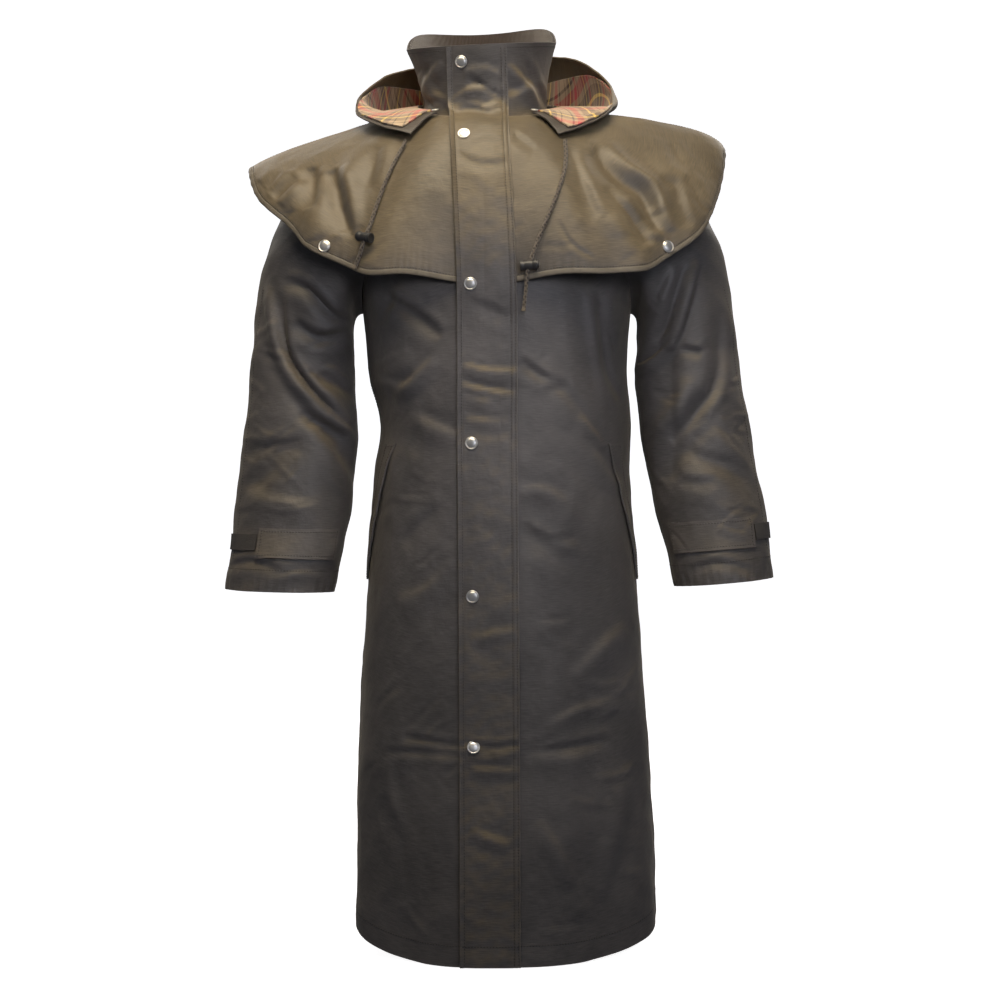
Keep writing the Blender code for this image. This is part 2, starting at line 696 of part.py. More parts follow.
def seam_angle(levels):
    """Half of a seam's gap, as an angle round the body."""
    radius = np.linalg.norm(body_point(levels, np.full(len(levels), math.pi / 2))[:, :2], axis=1)
    return SEAM_GAP / 2 / radius


def make_fronts(material):
    levels = body_levels()
    for side in (RIGHT, LEFT):
        start = seam_angle(levels)
        stop = math.pi / 2 - side_angle(levels) - seam_angle(levels)
        shares = np.linspace(0, 1, FRONT_COLUMNS + 1)
        angles = start[:, None] + (stop - start)[:, None] * shares
        rows = np.repeat(levels[:, None], len(shares), axis=1)
        points = body_point(rows, side * angles)
        cloth(f"front_{SIDE_NAMES[side]}", points[:, ::side], material)


def make_back(material):
    levels = body_levels()
    start = math.pi / 2 + side_angle(levels) + seam_angle(levels)
    shares = np.linspace(0, 1, BACK_COLUMNS + 1)
    angles = start[:, None] + (2 * math.pi - 2 * start)[:, None] * shares
    rows = np.repeat(levels[:, None], len(shares), axis=1)
    cloth("back", body_point(rows, angles), material)


def sleeve_rows():
    lower = np.linspace(0, 1, SLEEVE_LOWER_ROWS + 1)[:-1]
    return np.concatenate([lower, np.linspace(1, 2, SLEEVE_HEAD_ROWS + 1)])


def make_sleeves(material):
    for side in (RIGHT, LEFT):
        inner = -side * math.pi / 2
        angles = inner + np.linspace(0, 2 * math.pi, SLEEVE_COLUMNS + 1)
        rows, turns = grid(sleeve_rows(), angles)
        points = sleeve_point(side, rows, turns)
        points[:, -1] = points[:, 0]
        cloth(f"sleeve_{SIDE_NAMES[side]}", points, material, closed=True)


def cape_spans():
    """The columns of the three cape panels, in degrees."""
    gap = math.degrees(SEAM_GAP / NECK_HALF_WIDTH)
    return {
        "cape_front_left": np.linspace(CAPE_FRONT_ANGLE, 90 - gap, CAPE_FRONT_COLUMNS + 1),
        "cape_back": np.linspace(90, 270, CAPE_BACK_COLUMNS + 1),
        "cape_front_right": np.linspace(270 + gap, 360 - CAPE_FRONT_ANGLE, CAPE_FRONT_COLUMNS + 1),
    }


def make_cape(material):
    for name, degrees in cape_spans().items():
        rows, angles = grid(np.linspace(0, 1, CAPE_ROWS + 1), np.radians(degrees))
        cloth(name, cape_point(rows, angles), material)


def make_cape_binding(material):
    """A folded strip along the cape's lower edge, from one front round the back to the other."""
    left, back, right = cape_spans().values()
    angles = np.radians(np.concatenate([left, back[1:-1], right]))
    edge = cape_point(np.zeros_like(angles), angles)
    inside = cape_point(np.full_like(angles, BINDING_SLOPE_SHARE), angles)
    down = edge - inside
    down /= np.linalg.norm(down, axis=1, keepdims=True)
    top = edge + down * BINDING_GAP
    points = np.stack([top + down * BINDING_WIDE, top], axis=0)
    cloth("cape_binding", points, material, thickness=BINDING_THICK)


def make_collar(material, lining):
    angles = np.radians(np.linspace(COLLAR_OPENING, 360 - COLLAR_OPENING, COLLAR_COLUMNS + 1))
    rows, turns = grid(np.linspace(0, 1, COLLAR_ROWS + 1), angles)
    cloth("collar", collar_point(rows, turns), material)
    rows, turns = grid(np.linspace(COLLAR_LINING_LOW, COLLAR_LINING_HIGH, COLLAR_ROWS + 1), angles)
    cloth("collar_lining", lifted(collar_point, rows, turns, np.full(rows.shape, -LINING_STEP)), lining)


def make_hood(material, lining):
    angles = np.radians(np.linspace(HOOD_FRONT_ANGLE, 360 - HOOD_FRONT_ANGLE, HOOD_COLUMNS + 1))
    inner = np.linspace(0, 1, HOOD_INNER_ROWS + 1)[:-1]
    outer = np.linspace(1, 2, HOOD_OUTER_ROWS + 1)
    rows, turns = grid(np.concatenate([inner, outer]), angles)
    shell = hood_point(rows, turns)
    cloth("hood", shell, material)
    bag = inset(shell, HOOD_LINING_STEP)
    cloth("hood_lining", bag[: len(bag) - HOOD_FACING_ROWS], lining)


def inset(points, step):
    """A grid moved into its hollow, with its corners mitred so that every wall keeps its step."""
    along = np.gradient(points, axis=1)
    walls = np.cross(along[:-1] + along[1:], np.diff(points, axis=0))
    walls /= -np.linalg.norm(walls, axis=-1, keepdims=True)
    before = np.concatenate([walls[:1], walls])
    after = np.concatenate([walls, walls[-1:]])
    agree = np.sum(before * after, axis=-1, keepdims=True)
    return points + (before + after) / (1 + agree) * step


def front_stack():
    """The rows that the storm flap lies on: the fronts up to the cape, then the cape, then the collar."""
    levels = [v for v in body_levels() if body_point(v, 0.0)[2] < FLAP_BELOW_CAPE]
    rows = [(body_point, v) for v in levels]
    rows += [(cape_point, v) for v in (FLAP_BELOW_BINDING, *np.linspace(0, 1, CAPE_ROWS + 1))]
    rows += [(collar_point, v) for v in np.linspace(*FLAP_ON_COLLAR, COLLAR_ROWS)]
    return rows


def flap_base(across):
    """Points under the storm flap, row by row, at a place across it from -0.5 to 0.5."""
    angles = np.radians(np.linspace(-FLAP_SEARCH_ANGLE, FLAP_SEARCH_ANGLE, FLAP_SEARCH_POINTS))
    points = []
    for surface, row in front_stack():
        line = surface(np.full_like(angles, row), angles)
        middle = table_at(FLAP_LINES, "height", "middle", float(surface(row, 0.0)[2]))
        x = middle + np.asarray(across) * FLAP_WIDTH
        points.append(np.stack([x] + [np.interp(x, line[:, 0], line[:, k]) for k in (1, 2)], axis=-1))
    return np.array(points)


def grid_normals(points):
    normal = np.cross(np.gradient(points, axis=1), np.gradient(points, axis=0))
    return normal / np.linalg.norm(normal, axis=-1, keepdims=True)


def flap_points():
    base = flap_base(np.linspace(-0.5, 0.5, FLAP_COLUMNS + 1))
    return base + grid_normals(base) * FLAP_LIFT


def make_storm_flap(material):
    cloth("storm_flap", flap_points(), material)


def place_on(points, height, column_index):
    """A point and its normal on a grid's column, at a height."""
    normals = grid_normals(points)
    line, facing = points[:, column_index], normals[:, column_index]
    order = np.argsort(line[:, 2])
    place = [np.interp(height, line[order, 2], line[order, k]) for k in range(3)]
    normal = np.array([np.interp(height, line[order, 2], facing[order, k]) for k in range(3)])
    return np.array(place), normal / np.linalg.norm(normal)


def make_snaps(material):
    across = SNAP_IN_FROM_EDGE / FLAP_WIDTH - 0.5
    base = flap_base(np.array([across - SNAP_SLOPE_SHARE, across, across + SNAP_SLOPE_SHARE]))
    seat = FLAP_LIFT + CLOTH / 2 + LAY_GAP / 2
    for number, height in enumerate(FLAP_SNAP_HEIGHTS, start=1):
        place, normal = place_on(base, height, 1)
        snap(f"flap_snap_{number}", place + normal * seat, normal, SNAP_RADIUS, SNAP_HEIGHT, material)
    for side, degrees, seat in CAPE_SNAPS:
        share, angle = np.array(CAPE_SNAP_SHARE), math.radians(degrees)
        normal = outward(cape_point, share, angle)
        place = cape_point(share, angle) + normal * (CLOTH / 2 + seat)
        snap(f"cape_snap_{SIDE_NAMES[side]}", place, normal, SNAP_RADIUS, SNAP_HEIGHT, material)


def make_hood_snaps(material):
    for side in (RIGHT, LEFT):
        angle = np.array(side * math.radians(HOOD_SNAP_ANGLE))
        row = np.array(HOOD_SNAP_ROW)
        normal = outward(cape_point, np.array(HOOD_SEAM), angle)
        place = hood_point(row, angle) + normal * (HOOD_LINING_STEP + CLOTH / 2 + LAY_GAP)
        name = f"hood_snap_{SIDE_NAMES[side]}"
        snap(name, place, normal, HOOD_SNAP_RADIUS, HOOD_SNAP_HEIGHT, material)


def level_at(height, angle):
    hem = BODY_SECTIONS[0].height + HEM_SIDE_LIFT * np.abs(np.sin(angle)) ** HEM_LIFT_POWER
    return (height - hem) / (UNDERARM - hem)


def make_pocket_welts(material):
    """A slanted strip sewn to each front at the back of its pocket mouth."""
    down = np.linspace(1, 0, WELT_ROWS + 1)[:, None]
    wide = np.linspace(0, 1, WELT_COLUMNS + 1)[None, :]
    height = POCKET_TOP_HEIGHT + (POCKET_BOTTOM_HEIGHT - POCKET_TOP_HEIGHT) * down
    mouth = POCKET_TOP_ANGLE + (POCKET_BOTTOM_ANGLE - POCKET_TOP_ANGLE) * down
    columns = np.linspace(0, math.pi / 2, FRONT_COLUMNS + 1)
    for side in (RIGHT, LEFT):
        front = faceted(body_point, body_levels(), np.sort(columns * side))
        angle = np.radians(mouth + WELT_WIDE_ANGLE * wide) * side
        level = level_at(height + 0 * wide, angle)
        points = lifted(front, level, angle, np.full(level.shape, WELT_LIFT))
        cloth(f"pocket_welt_{SIDE_NAMES[side]}", points[:, ::side], material)


def make_cuffs(tab_material, tape_material):
    """On each sleeve, a tab from the inner seam across the front, and the hook tape beyond its end."""
    for side in (RIGHT, LEFT):
        seam = -side * math.pi / 2
        columns = seam + np.linspace(0, 2 * math.pi, SLEEVE_COLUMNS + 1)
        sleeve = faceted(partial(sleeve_point, side), sleeve_rows(), columns)
        table = RIGHT_SLEEVE if side == RIGHT else LEFT_SLEEVE
        length = table[-1].height - table[0].height
        tab_span = RIGHT_TAB_SPAN if side == RIGHT else LEFT_TAB_SPAN
        tape_span = (tab_span[1] + TAPE_FROM_TAB, TAPE_END)
        pieces = (
            ("cuff_tab", tab_span, TAB_HEIGHT, CLOTH, tab_material),
            ("hook_tape", tape_span, TAPE_HEIGHT, TAPE_WALL, tape_material),
        )
        for name, span, tall, wall, material in pieces:
            first, last = seam + (np.sort(np.radians(span) * side) - seam) % (2 * math.pi)
            low, high = (TAB_MIDDLE - tall / 2) / length, (TAB_MIDDLE + tall / 2) / length
            rows, turns = grid(span_with(sleeve_rows(), low, high), span_with(columns, first, last))
            lift = (CLOTH + wall) / 2 + CUFF_LAY_GAP
            points = lifted(sleeve, rows, turns, np.full(rows.shape, lift))
            cloth(f"{name}_{SIDE_NAMES[side]}", points, material, thickness=wall)


def span_with(values, low, high):
    """The ends of a span, with the values that lie inside it."""
    return np.array([low, *(v for v in values if low < v < high), high])


def cord_line(stations):
    """A smooth line through a cord's stations over the cape, with points close together."""
    shares, angles, over = (column(stations, name) for name in ("share", "angle", "over"))
    knots = np.arange(len(stations), dtype=float)
    fine = np.linspace(0, knots[-1], CORD_FINE_POINTS)
    share, angle, over = (spline(fine, knots, values) for values in (shares, np.radians(angles), over))
    return lifted(cape_point, share, angle, over)


def spaced(line, step):
    along = np.concatenate([[0], np.cumsum(np.linalg.norm(np.diff(line, axis=0), axis=1))])
    at = np.linspace(0, along[-1], max(2, round(along[-1] / step) + 1))
    return np.stack([np.interp(at, along, line[:, k]) for k in range(3)], axis=1)


def trimmed(line, start, stop):
    """The line without a length at each end."""
    line = spaced(line, CORD_TRIM_STEP)
    along = np.concatenate([[0], np.cumsum(np.linalg.norm(np.diff(line, axis=0), axis=1))])
    return line[(along >= start) & (along <= along[-1] - stop)]


def make_drawcords(cord_material, lock_material):
    """Each cord hangs from the hood's rim to its lock, and its tail from the lock to its cut end."""
    routes = {RIGHT: (RIGHT_CORD, RIGHT_TAIL), LEFT: (LEFT_CORD, LEFT_TAIL)}
    for side, (upper, tail) in routes.items():
        name = SIDE_NAMES[side]
        upper_line, tail_line = cord_line(upper), cord_line(tail)
        upper_line = trimmed(upper_line, 0, LOCK_RADIUS + CORD_CLEAR)
        tail_line = trimmed(tail_line, LOCK_RADIUS + TAIL_CLEAR, 0)
        tube(f"drawcord_{name}", spaced(upper_line, CORD_SPACING), CORD_RADIUS, cord_material)
        tube(f"drawcord_tail_{name}", spaced(tail_line, CORD_SPACING), CORD_RADIUS, cord_material)
        bpy.ops.mesh.primitive_cylinder_add(vertices=LOCK_SIDES, radius=LOCK_RADIUS, depth=LOCK_LENGTH)
        lock = bpy.context.object
        edges = lock.modifiers.new("rounded ends", "BEVEL")
        edges.width = LOCK_RADIUS * LOCK_ROUNDING
        edges.segments = 1
        share, angle = np.array(tail[0].share), math.radians(tail[0].angle)
        sideways = cape_point(share, angle + LOCK_TURN) - cape_point(share, angle - LOCK_TURN)
        lock.rotation_mode = "QUATERNION"
        lock.rotation_quaternion = vector(sideways).to_track_quat("Z", "Y")
        lock.location = vector(lifted(cape_point, share, angle, tail[0].over))
        add_to_coat(lock, f"cord_lock_{name}", lock_material)


for existing in list(bpy.data.objects):
    bpy.data.objects.remove(existing)
COAT = bpy.data.collections.new("cape_coat")
bpy.context.scene.collection.children.link(COAT)

SHELL = finish("waxed_shell", (0.060, 0.051, 0.040), 0.48)
BINDING = finish("bound_edge", (0.075, 0.064, 0.050), 0.55)
CHECK = finish("check_lining", (0.330, 0.240, 0.150), 0.85)
COLLAR_CLOTH = finish("collar_cord", (0.040, 0.026, 0.020), 0.90)
METAL = finish("nickel_snap", (0.720, 0.710, 0.690), 0.25, 1.0)
TAPE = finish("hook_tape", (0.020, 0.017, 0.014), 0.95)
CORD = finish("braided_cord", (0.050, 0.042, 0.032), 0.80)
LOCK = finish("black_plastic", (0.012, 0.012, 0.012), 0.40)

make_back(SHELL)
make_fronts(SHELL)
make_sleeves(SHELL)
make_collar(SHELL, COLLAR_CLOTH)
make_cape(SHELL)
make_cape_binding(BINDING)
make_hood(SHELL, CHECK)
make_storm_flap(SHELL)
make_snaps(METAL)
make_hood_snaps(METAL)
make_pocket_welts(SHELL)
make_cuffs(SHELL, TAPE)
make_drawcords(CORD, LOCK)
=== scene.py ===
"""The looks of a full-length cape coat with a stand collar and a lowered hood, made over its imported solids.

Metres, +Z up; the coat faces -Y and +X is the wearer's left. Angles round the coat start at the front and
grow towards +X. Each section makes one piece of the coat, in the order in which the coat is put together.
"""

import math
from functools import partial

import bpy
import numpy as np
from mathutils import Matrix, Vector


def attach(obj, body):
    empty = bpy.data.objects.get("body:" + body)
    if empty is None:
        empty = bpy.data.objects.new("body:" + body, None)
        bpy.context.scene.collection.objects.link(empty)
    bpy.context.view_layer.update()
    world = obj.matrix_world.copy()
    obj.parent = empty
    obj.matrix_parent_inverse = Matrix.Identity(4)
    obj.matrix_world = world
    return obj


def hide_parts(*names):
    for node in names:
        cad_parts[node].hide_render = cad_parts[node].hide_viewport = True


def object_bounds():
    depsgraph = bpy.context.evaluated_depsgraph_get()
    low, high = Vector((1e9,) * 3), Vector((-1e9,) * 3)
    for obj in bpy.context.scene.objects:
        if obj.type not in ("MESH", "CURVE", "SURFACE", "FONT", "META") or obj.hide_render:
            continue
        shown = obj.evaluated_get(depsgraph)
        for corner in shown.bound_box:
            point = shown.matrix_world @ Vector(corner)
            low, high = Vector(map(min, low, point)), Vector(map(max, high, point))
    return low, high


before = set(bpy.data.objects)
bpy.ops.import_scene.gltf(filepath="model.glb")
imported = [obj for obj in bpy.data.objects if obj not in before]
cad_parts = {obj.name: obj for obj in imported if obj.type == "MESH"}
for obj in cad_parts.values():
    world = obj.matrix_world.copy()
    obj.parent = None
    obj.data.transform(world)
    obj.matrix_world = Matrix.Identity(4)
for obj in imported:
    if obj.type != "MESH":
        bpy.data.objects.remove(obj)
cad_low, cad_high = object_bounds()
bpy.ops.object.select_all(action="DESELECT")


# Camera: the coat is seen from straight in front, at half its height, with a long lens that fills the
# square picture from above the collar to below the hem.
EYE = (0.0056, -2.7, -0.546)
LENS_MM = 69.43
SENSOR_MM = 36
bpy.ops.object.camera_add(location=EYE, rotation=(math.pi / 2, 0, 0))
camera = bpy.context.object
camera.data.lens = LENS_MM
camera.data.sensor_width = SENSOR_MM
bpy.context.scene.camera = camera


# Hood drawcords: two braided cords of 5 mm come out of eyelets at the tips of the hood's rim, hang down
# over the shoulder cape, run through a barrel lock and end in a cut tail. They lie on the cape's fall,
# so the neckline and the fall of the cape are laid out here first.
RIGHT, LEFT = -1, 1
SIDE_NAMES = {RIGHT: "right", LEFT: "left"}
CLOTH = 0.002
NECK_LINE = -0.015
NECK_HALF_WIDTH = 0.086
NECK_FRONT = 0.088
NECK_BACK = 0.078
NECK_HEIGHT_FRONT = -0.031
NECK_HEIGHT_BACK = 0.020
CAPE_NECK_OUT = 0.0052
CAPE_NECK_UP = 0.0025
FOLD_FADE = 1.5
EDGE_ROUND = 0.0004

# Cape edge by angle: reach from the neck's middle, height, and how round the cloth falls
CAPE_EDGE_RIGHT = np.array([
    (0, 0.1730, -0.258, 1.05), (14, 0.1760, -0.254, 1.08), (30, 0.2020, -0.245, 1.25),
    (45, 0.2260, -0.243, 1.42), (56, 0.2450, -0.222, 1.38), (68, 0.2740, -0.185, 1.42),
    (79, 0.3120, -0.134, 1.50), (90, 0.3260, -0.081, 1.66), (102, 0.3180, -0.104, 1.55),
    (118, 0.2880, -0.172, 1.42), (140, 0.2420, -0.240, 1.30), (160, 0.2080, -0.274, 1.15),
    (180, 0.1960, -0.284, 1.08),
])
CAPE_EDGE_LEFT = np.array([
    (0, 0.1730, -0.258, 1.05), (14, 0.1770, -0.254, 1.08), (30, 0.2060, -0.245, 1.25),
    (45, 0.2380, -0.243, 1.42), (56, 0.2660, -0.234, 1.38), (68, 0.2990, -0.192, 1.38),
    (79, 0.3230, -0.128, 1.24), (90, 0.3340, -0.054, 1.08), (102, 0.3220, -0.084, 1.24),
    (118, 0.2880, -0.165, 1.42), (140, 0.2420, -0.238, 1.30), (160, 0.2080, -0.274, 1.15),
    (180, 0.1960, -0.284, 1.08),
])
# Cape folds from the neck out to the edge: angle, width and depth at the edge
CAPE_FOLDS = (
    (-72, 8, -0.007), (-62, 7, 0.007), (-51, 7, -0.006), (-38, 9, 0.003), (38, 9, 0.003),
    (52, 6, 0.007), (62, 6, -0.005), (71, 7, 0.006), (112, 9, -0.008), (130, 9, 0.008),
    (152, 10, -0.004), (205, 10, -0.004), (228, 9, 0.008), (246, 9, -0.008),
)


def smooth_at(at, knots, values):
    """A smooth line through the values at the knots."""
    slopes = np.gradient(values, knots)
    at = np.clip(at, knots[0], knots[-1])
    i = np.clip(np.searchsorted(knots, at) - 1, 0, len(knots) - 2)
    span = knots[i + 1] - knots[i]
    t = (at - knots[i]) / span
    return (
        (1 + 2 * t) * (1 - t) ** 2 * values[i]
        + t * (1 - t) ** 2 * span * slopes[i]
        + t**2 * (3 - 2 * t) * values[i + 1]
        + t**2 * (t - 1) * span * slopes[i + 1]
    )


def table_at(table, at):
    """Every column of a table after its first, at places along the first."""
    return [smooth_at(at, table[:, 0], table[:, k]) for k in range(1, table.shape[1])]


def turned(angle):
    """An angle in radians, brought to -pi..pi."""
    return (angle + math.pi) % (2 * math.pi) - math.pi


def hump(distance, width):
    """A soft hump, 1 at its middle and nothing at twice its width."""
    return np.exp(-((distance / width) ** 2) * 2.0)


def arrays(*values):
    return np.broadcast_arrays(*(np.asarray(v, float) for v in values))


def outward(surface, rows, angles):
    """Unit normals of a surface of rows and angles, facing out of the coat."""
    step = 1e-3
    along = surface(rows, angles + step) - surface(rows, angles - step)
    up = surface(rows + step, angles) - surface(rows - step, angles)
    normal = np.cross(along, up)
    return normal / np.linalg.norm(normal, axis=-1, keepdims=True)


def lifted(surface, rows, angles, distance):
    """Points of a surface moved out of it by a distance."""
    return surface(rows, angles) + outward(surface, rows, angles) * np.asarray(distance)[..., None]


def neck_point(angle):
    """The neckline, which dips in front."""
    s, c = np.sin(angle), np.cos(angle)
    middle = (NECK_HEIGHT_FRONT + NECK_HEIGHT_BACK) / 2
    swing = (NECK_HEIGHT_FRONT - NECK_HEIGHT_BACK) / 2
    y = -np.where(c > 0, NECK_FRONT, NECK_BACK) * c
    return np.stack([NECK_LINE + NECK_HALF_WIDTH * s, y, middle + swing * c], axis=-1)


def cape_fall(share, angle):
    """The cape's plain fall. Share 0 is its lower edge and 1 its neck seam; below 0 it runs straight down."""
    share, angle = arrays(share, angle)
    degrees = np.degrees(np.abs(turned(angle)))
    right, left = table_at(CAPE_EDGE_RIGHT, degrees), table_at(CAPE_EDGE_LEFT, degrees)
    reach, height, power = (np.where(np.sin(angle) < 0, r, l) for r, l in zip(right, left))
    climb = np.clip(share, 0, 1) * math.pi / 2
    far = np.clip(np.cos(climb), 0, 1) ** power
    high = np.sin(climb) ** power
    swell = np.zeros_like(reach)
    for middle, width, depth in CAPE_FOLDS:
        away = np.degrees(np.abs(turned(angle - math.radians(middle))))
        swell = swell + depth * hump(away, width)
    reach = reach + swell * far**FOLD_FADE
    neck = neck_point(angle)
    s, c = np.sin(angle), np.cos(angle)
    x = neck[..., 0] + CAPE_NECK_OUT * s
    y = neck[..., 1] - CAPE_NECK_OUT * c
    z = neck[..., 2] + CAPE_NECK_UP
    x = x + (NECK_LINE + reach * s - x) * far
    y = y + (-reach * c - y) * far
    z = height + (z - height) * high + np.minimum(share, 0)
    return np.stack([x, y, z], axis=-1)


def nodes_of(name):
    """A new finish with its shader."""
    made = bpy.data.materials.new(name)
    made.use_nodes = True
    return made, made.node_tree.nodes["Principled BSDF"]


def put(finish, kind, inputs, **settings):
    """Adds a shader node, sets it, and feeds its inputs with values or with the sockets of other nodes."""
    node = finish.node_tree.nodes.new("ShaderNode" + kind)
    for setting, value in settings.items():
        setattr(node, setting, value)
    feed(finish, node, inputs)
    return node


def feed(finish, node, inputs):
    for key, value in inputs.items():
        socket = node.inputs[key]
        if isinstance(value, bpy.types.NodeSocket):
            finish.node_tree.links.new(value, socket)
        else:
            socket.default_value = (*value, 1.0) if socket.type == "RGBA" else value


def span(finish, value, low, high, from_low=0.0, from_high=1.0):
    """A value brought from one range to another."""
    inputs = {0: value, 1: from_low, 2: from_high, 3: low, 4: high}
    return put(finish, "MapRange", inputs).outputs[0]


def blend_colours(finish, share, first, second):
    """A mix of two colours, each given as red, green and blue or by another node."""
    return put(finish, "Mix", {0: share, 6: first, 7: second}, data_type="RGBA").outputs[2]


def coordinate(finish, kind):
    """Places on a piece: "Object" over the whole coat, or "UV" in metres on its flat cloth."""
    return put(finish, "TexCoord", {}).outputs[kind]


def noise(finish, place, scale, detail=2.0):
    return put(finish, "TexNoise", {"Vector": place, "Scale": scale, "Detail": detail}).outputs[0]


def reckon(finish, operation, *values):
    return put(finish, "Math", dict(enumerate(values)), operation=operation).outputs[0]


def bias_lines(finish, flat, scale):
    """Fine lines on a slant, as on twill or on a strip cut on the bias."""
    slant = put(finish, "Mapping", {"Vector": flat, "Rotation": (0, 0, math.radians(45))})
    return put(finish, "TexWave", {"Vector": slant.outputs[0], "Scale": scale}).outputs[1]


def relief(finish, height, strength, distance, **under):
    """The normals of a face that a texture raises, over another relief if one is given."""
    inputs = {"Strength": strength, "Distance": distance, "Height": height, **under}
    return put(finish, "Bump", inputs).outputs[0]


def complete(finish, shader, tone, rough, raised=None, more=()):
    """Gives a finish its colour between two tones, its roughness between two values, and its relief."""
    inputs = {"Base Color": blend_colours(finish, *tone), "Roughness": span(finish, *rough), **dict(more)}
    if raised:
        inputs["Normal"] = relief(finish, *raised)
    feed(finish, shader, inputs)
    return finish


def braided_cord():
    """Dark polyester braid: two sets of strands that cross on a slant."""
    finish, shader = nodes_of("braided_cord")
    place = coordinate(finish, "Object")
    strands = []
    for slant in (0.9, -0.9):
        turn = put(finish, "Mapping", {"Vector": place, "Rotation": (0, slant, 0)})
        wave = put(finish, "TexWave", {"Vector": turn.outputs[0], "Scale": 72.0}, bands_direction="Z")
        strands.append(wave.outputs[1])
    braid = reckon(finish, "MAXIMUM", *strands)
    tone = (braid, (0.009, 0.007, 0.006), (0.092, 0.073, 0.053))
    rough = (noise(finish, place, 900.0), 0.70, 0.95)
    return complete(finish, shader, tone, rough, (braid, 0.8, 0.0006), {"Sheen Weight": 0.2})


def black_plastic():
    """Moulded plastic with the faint grain of its tool and rubbed spots."""
    finish, shader = nodes_of("black_plastic")
    place = coordinate(finish, "Object")
    grain, rubs = noise(finish, place, 1400.0, 3.0), noise(finish, place, 220.0, 4.0)
    tone = (rubs, (0.008, 0.008, 0.008), (0.030, 0.029, 0.028))
    return complete(finish, shader, tone, (rubs, 0.30, 0.55), (grain, 0.25, 0.0002))


def cut_end():
    """The pale core of the braid, which shows where the cord is cut."""
    finish, shader = nodes_of("cut_cord_end")
    fibres = noise(finish, coordinate(finish, "Object"), 1600.0)
    tone = (fibres, (0.06, 0.05, 0.035), (0.20, 0.16, 0.11))
    return complete(finish, shader, tone, (fibres, 0.9, 0.9), (fibres, 0.6, 0.0004))


def run_of(line):
    """How far each point of a line is along it."""
    return np.concatenate([[0], np.cumsum(np.linalg.norm(np.diff(line, axis=0), axis=1))])


def at_run(at, run, values):
    """Rows of values at places along a run."""
    return np.stack([np.interp(at, run, column) for column in values.T], axis=-1)


def spaced(line, count):
    """Points at equal steps along a line."""
    run = run_of(line)
    return at_run(np.linspace(0, run[-1], count), run, line)


def through(stations, count):
    """Each column of a table of stations, at equal steps along a smooth line through them."""
    knots = np.arange(len(stations), dtype=float)
    fine = np.linspace(0, knots[-1], count)
    return [smooth_at(fine, knots, column) for column in stations.T]


def pick(test, kind="VERT"):
    """In edit mode, picks the corners or faces that pass a test of their middle point."""
    bpy.ops.mesh.select_all(action="DESELECT")
    bpy.ops.mesh.select_mode(type=kind)
    bpy.ops.object.mode_set(mode="OBJECT")
    mesh = bpy.context.object.data
    for item in mesh.polygons if kind == "FACE" else mesh.vertices:
        item.select = bool(test(item.center if kind == "FACE" else item.co))
    bpy.ops.object.mode_set(mode="EDIT")


def settle(obj, matrix):
    """Puts a finished piece in its place, with its object left at the origin."""
    obj.data.transform(matrix)
    obj.matrix_world = Matrix.Identity(4)


def copy_of(obj, name):
    made = obj.copy()
    made.data = obj.data.copy()
    made.name = name
    bpy.context.scene.collection.objects.link(made)
    return made


def soften(obj, segments, angle):
    """Rounds the edges of a small hard piece and shades it smooth up to an angle."""
    edges = obj.modifiers.new("rounded edges", "BEVEL")
    edges.width = EDGE_ROUND
    edges.segments = segments
    edges.limit_method = "ANGLE"
    bpy.ops.object.modifier_apply(modifier=edges.name)
    bpy.ops.object.shade_smooth_by_angle(angle=math.radians(angle))


def wear(piece, slot, *nodes):
    """Puts a piece on the coat and hides the solids that it shows; its slot is not used."""
    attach(piece, "root")
    if nodes:
        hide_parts(*nodes)


def vector(values):
    return Vector([float(v) for v in values])


def facing(place, axis):
    """A matrix that turns +Z to an axis and moves to a place."""
    return Matrix.Translation(vector(place)) @ vector(axis).to_track_quat("Z", "Y").to_matrix().to_4x4()


# Stations of each cord as shares of the cape from edge to neck, angles and heights over the cloth
CORD_STATIONS = {
    RIGHT: np.array([
        (0.648, -45.6, 0.0066), (0.610, -45.6, 0.0045), (0.450, -45.3, 0.0039), (0.280, -45.0, 0.0040),
        (0.195, -44.8, 0.0095), (0.110, -46.0, 0.0060), (0.030, -47.5, 0.0042),
    ]),
    LEFT: np.array([
        (0.648, 45.0, 0.0066), (0.610, 43.0, 0.0046), (0.430, 34.0, 0.0040), (0.200, 24.0, 0.0042),
        (0.045, 19.0, 0.0100), (-0.010, 18.0, 0.0082), (-0.042, 17.0, 0.0066),
    ]),
}
LOCK_STATION = 4
CORD_DIAMETER = 0.005
CORD_POINTS = 36
CORD_FINE_POINTS = 240
BARREL_RADIUS = 0.0062
BARREL_LENGTH = 0.0215
BUTTON_OUT = 0.0024
FRAY_LENGTH = 0.006


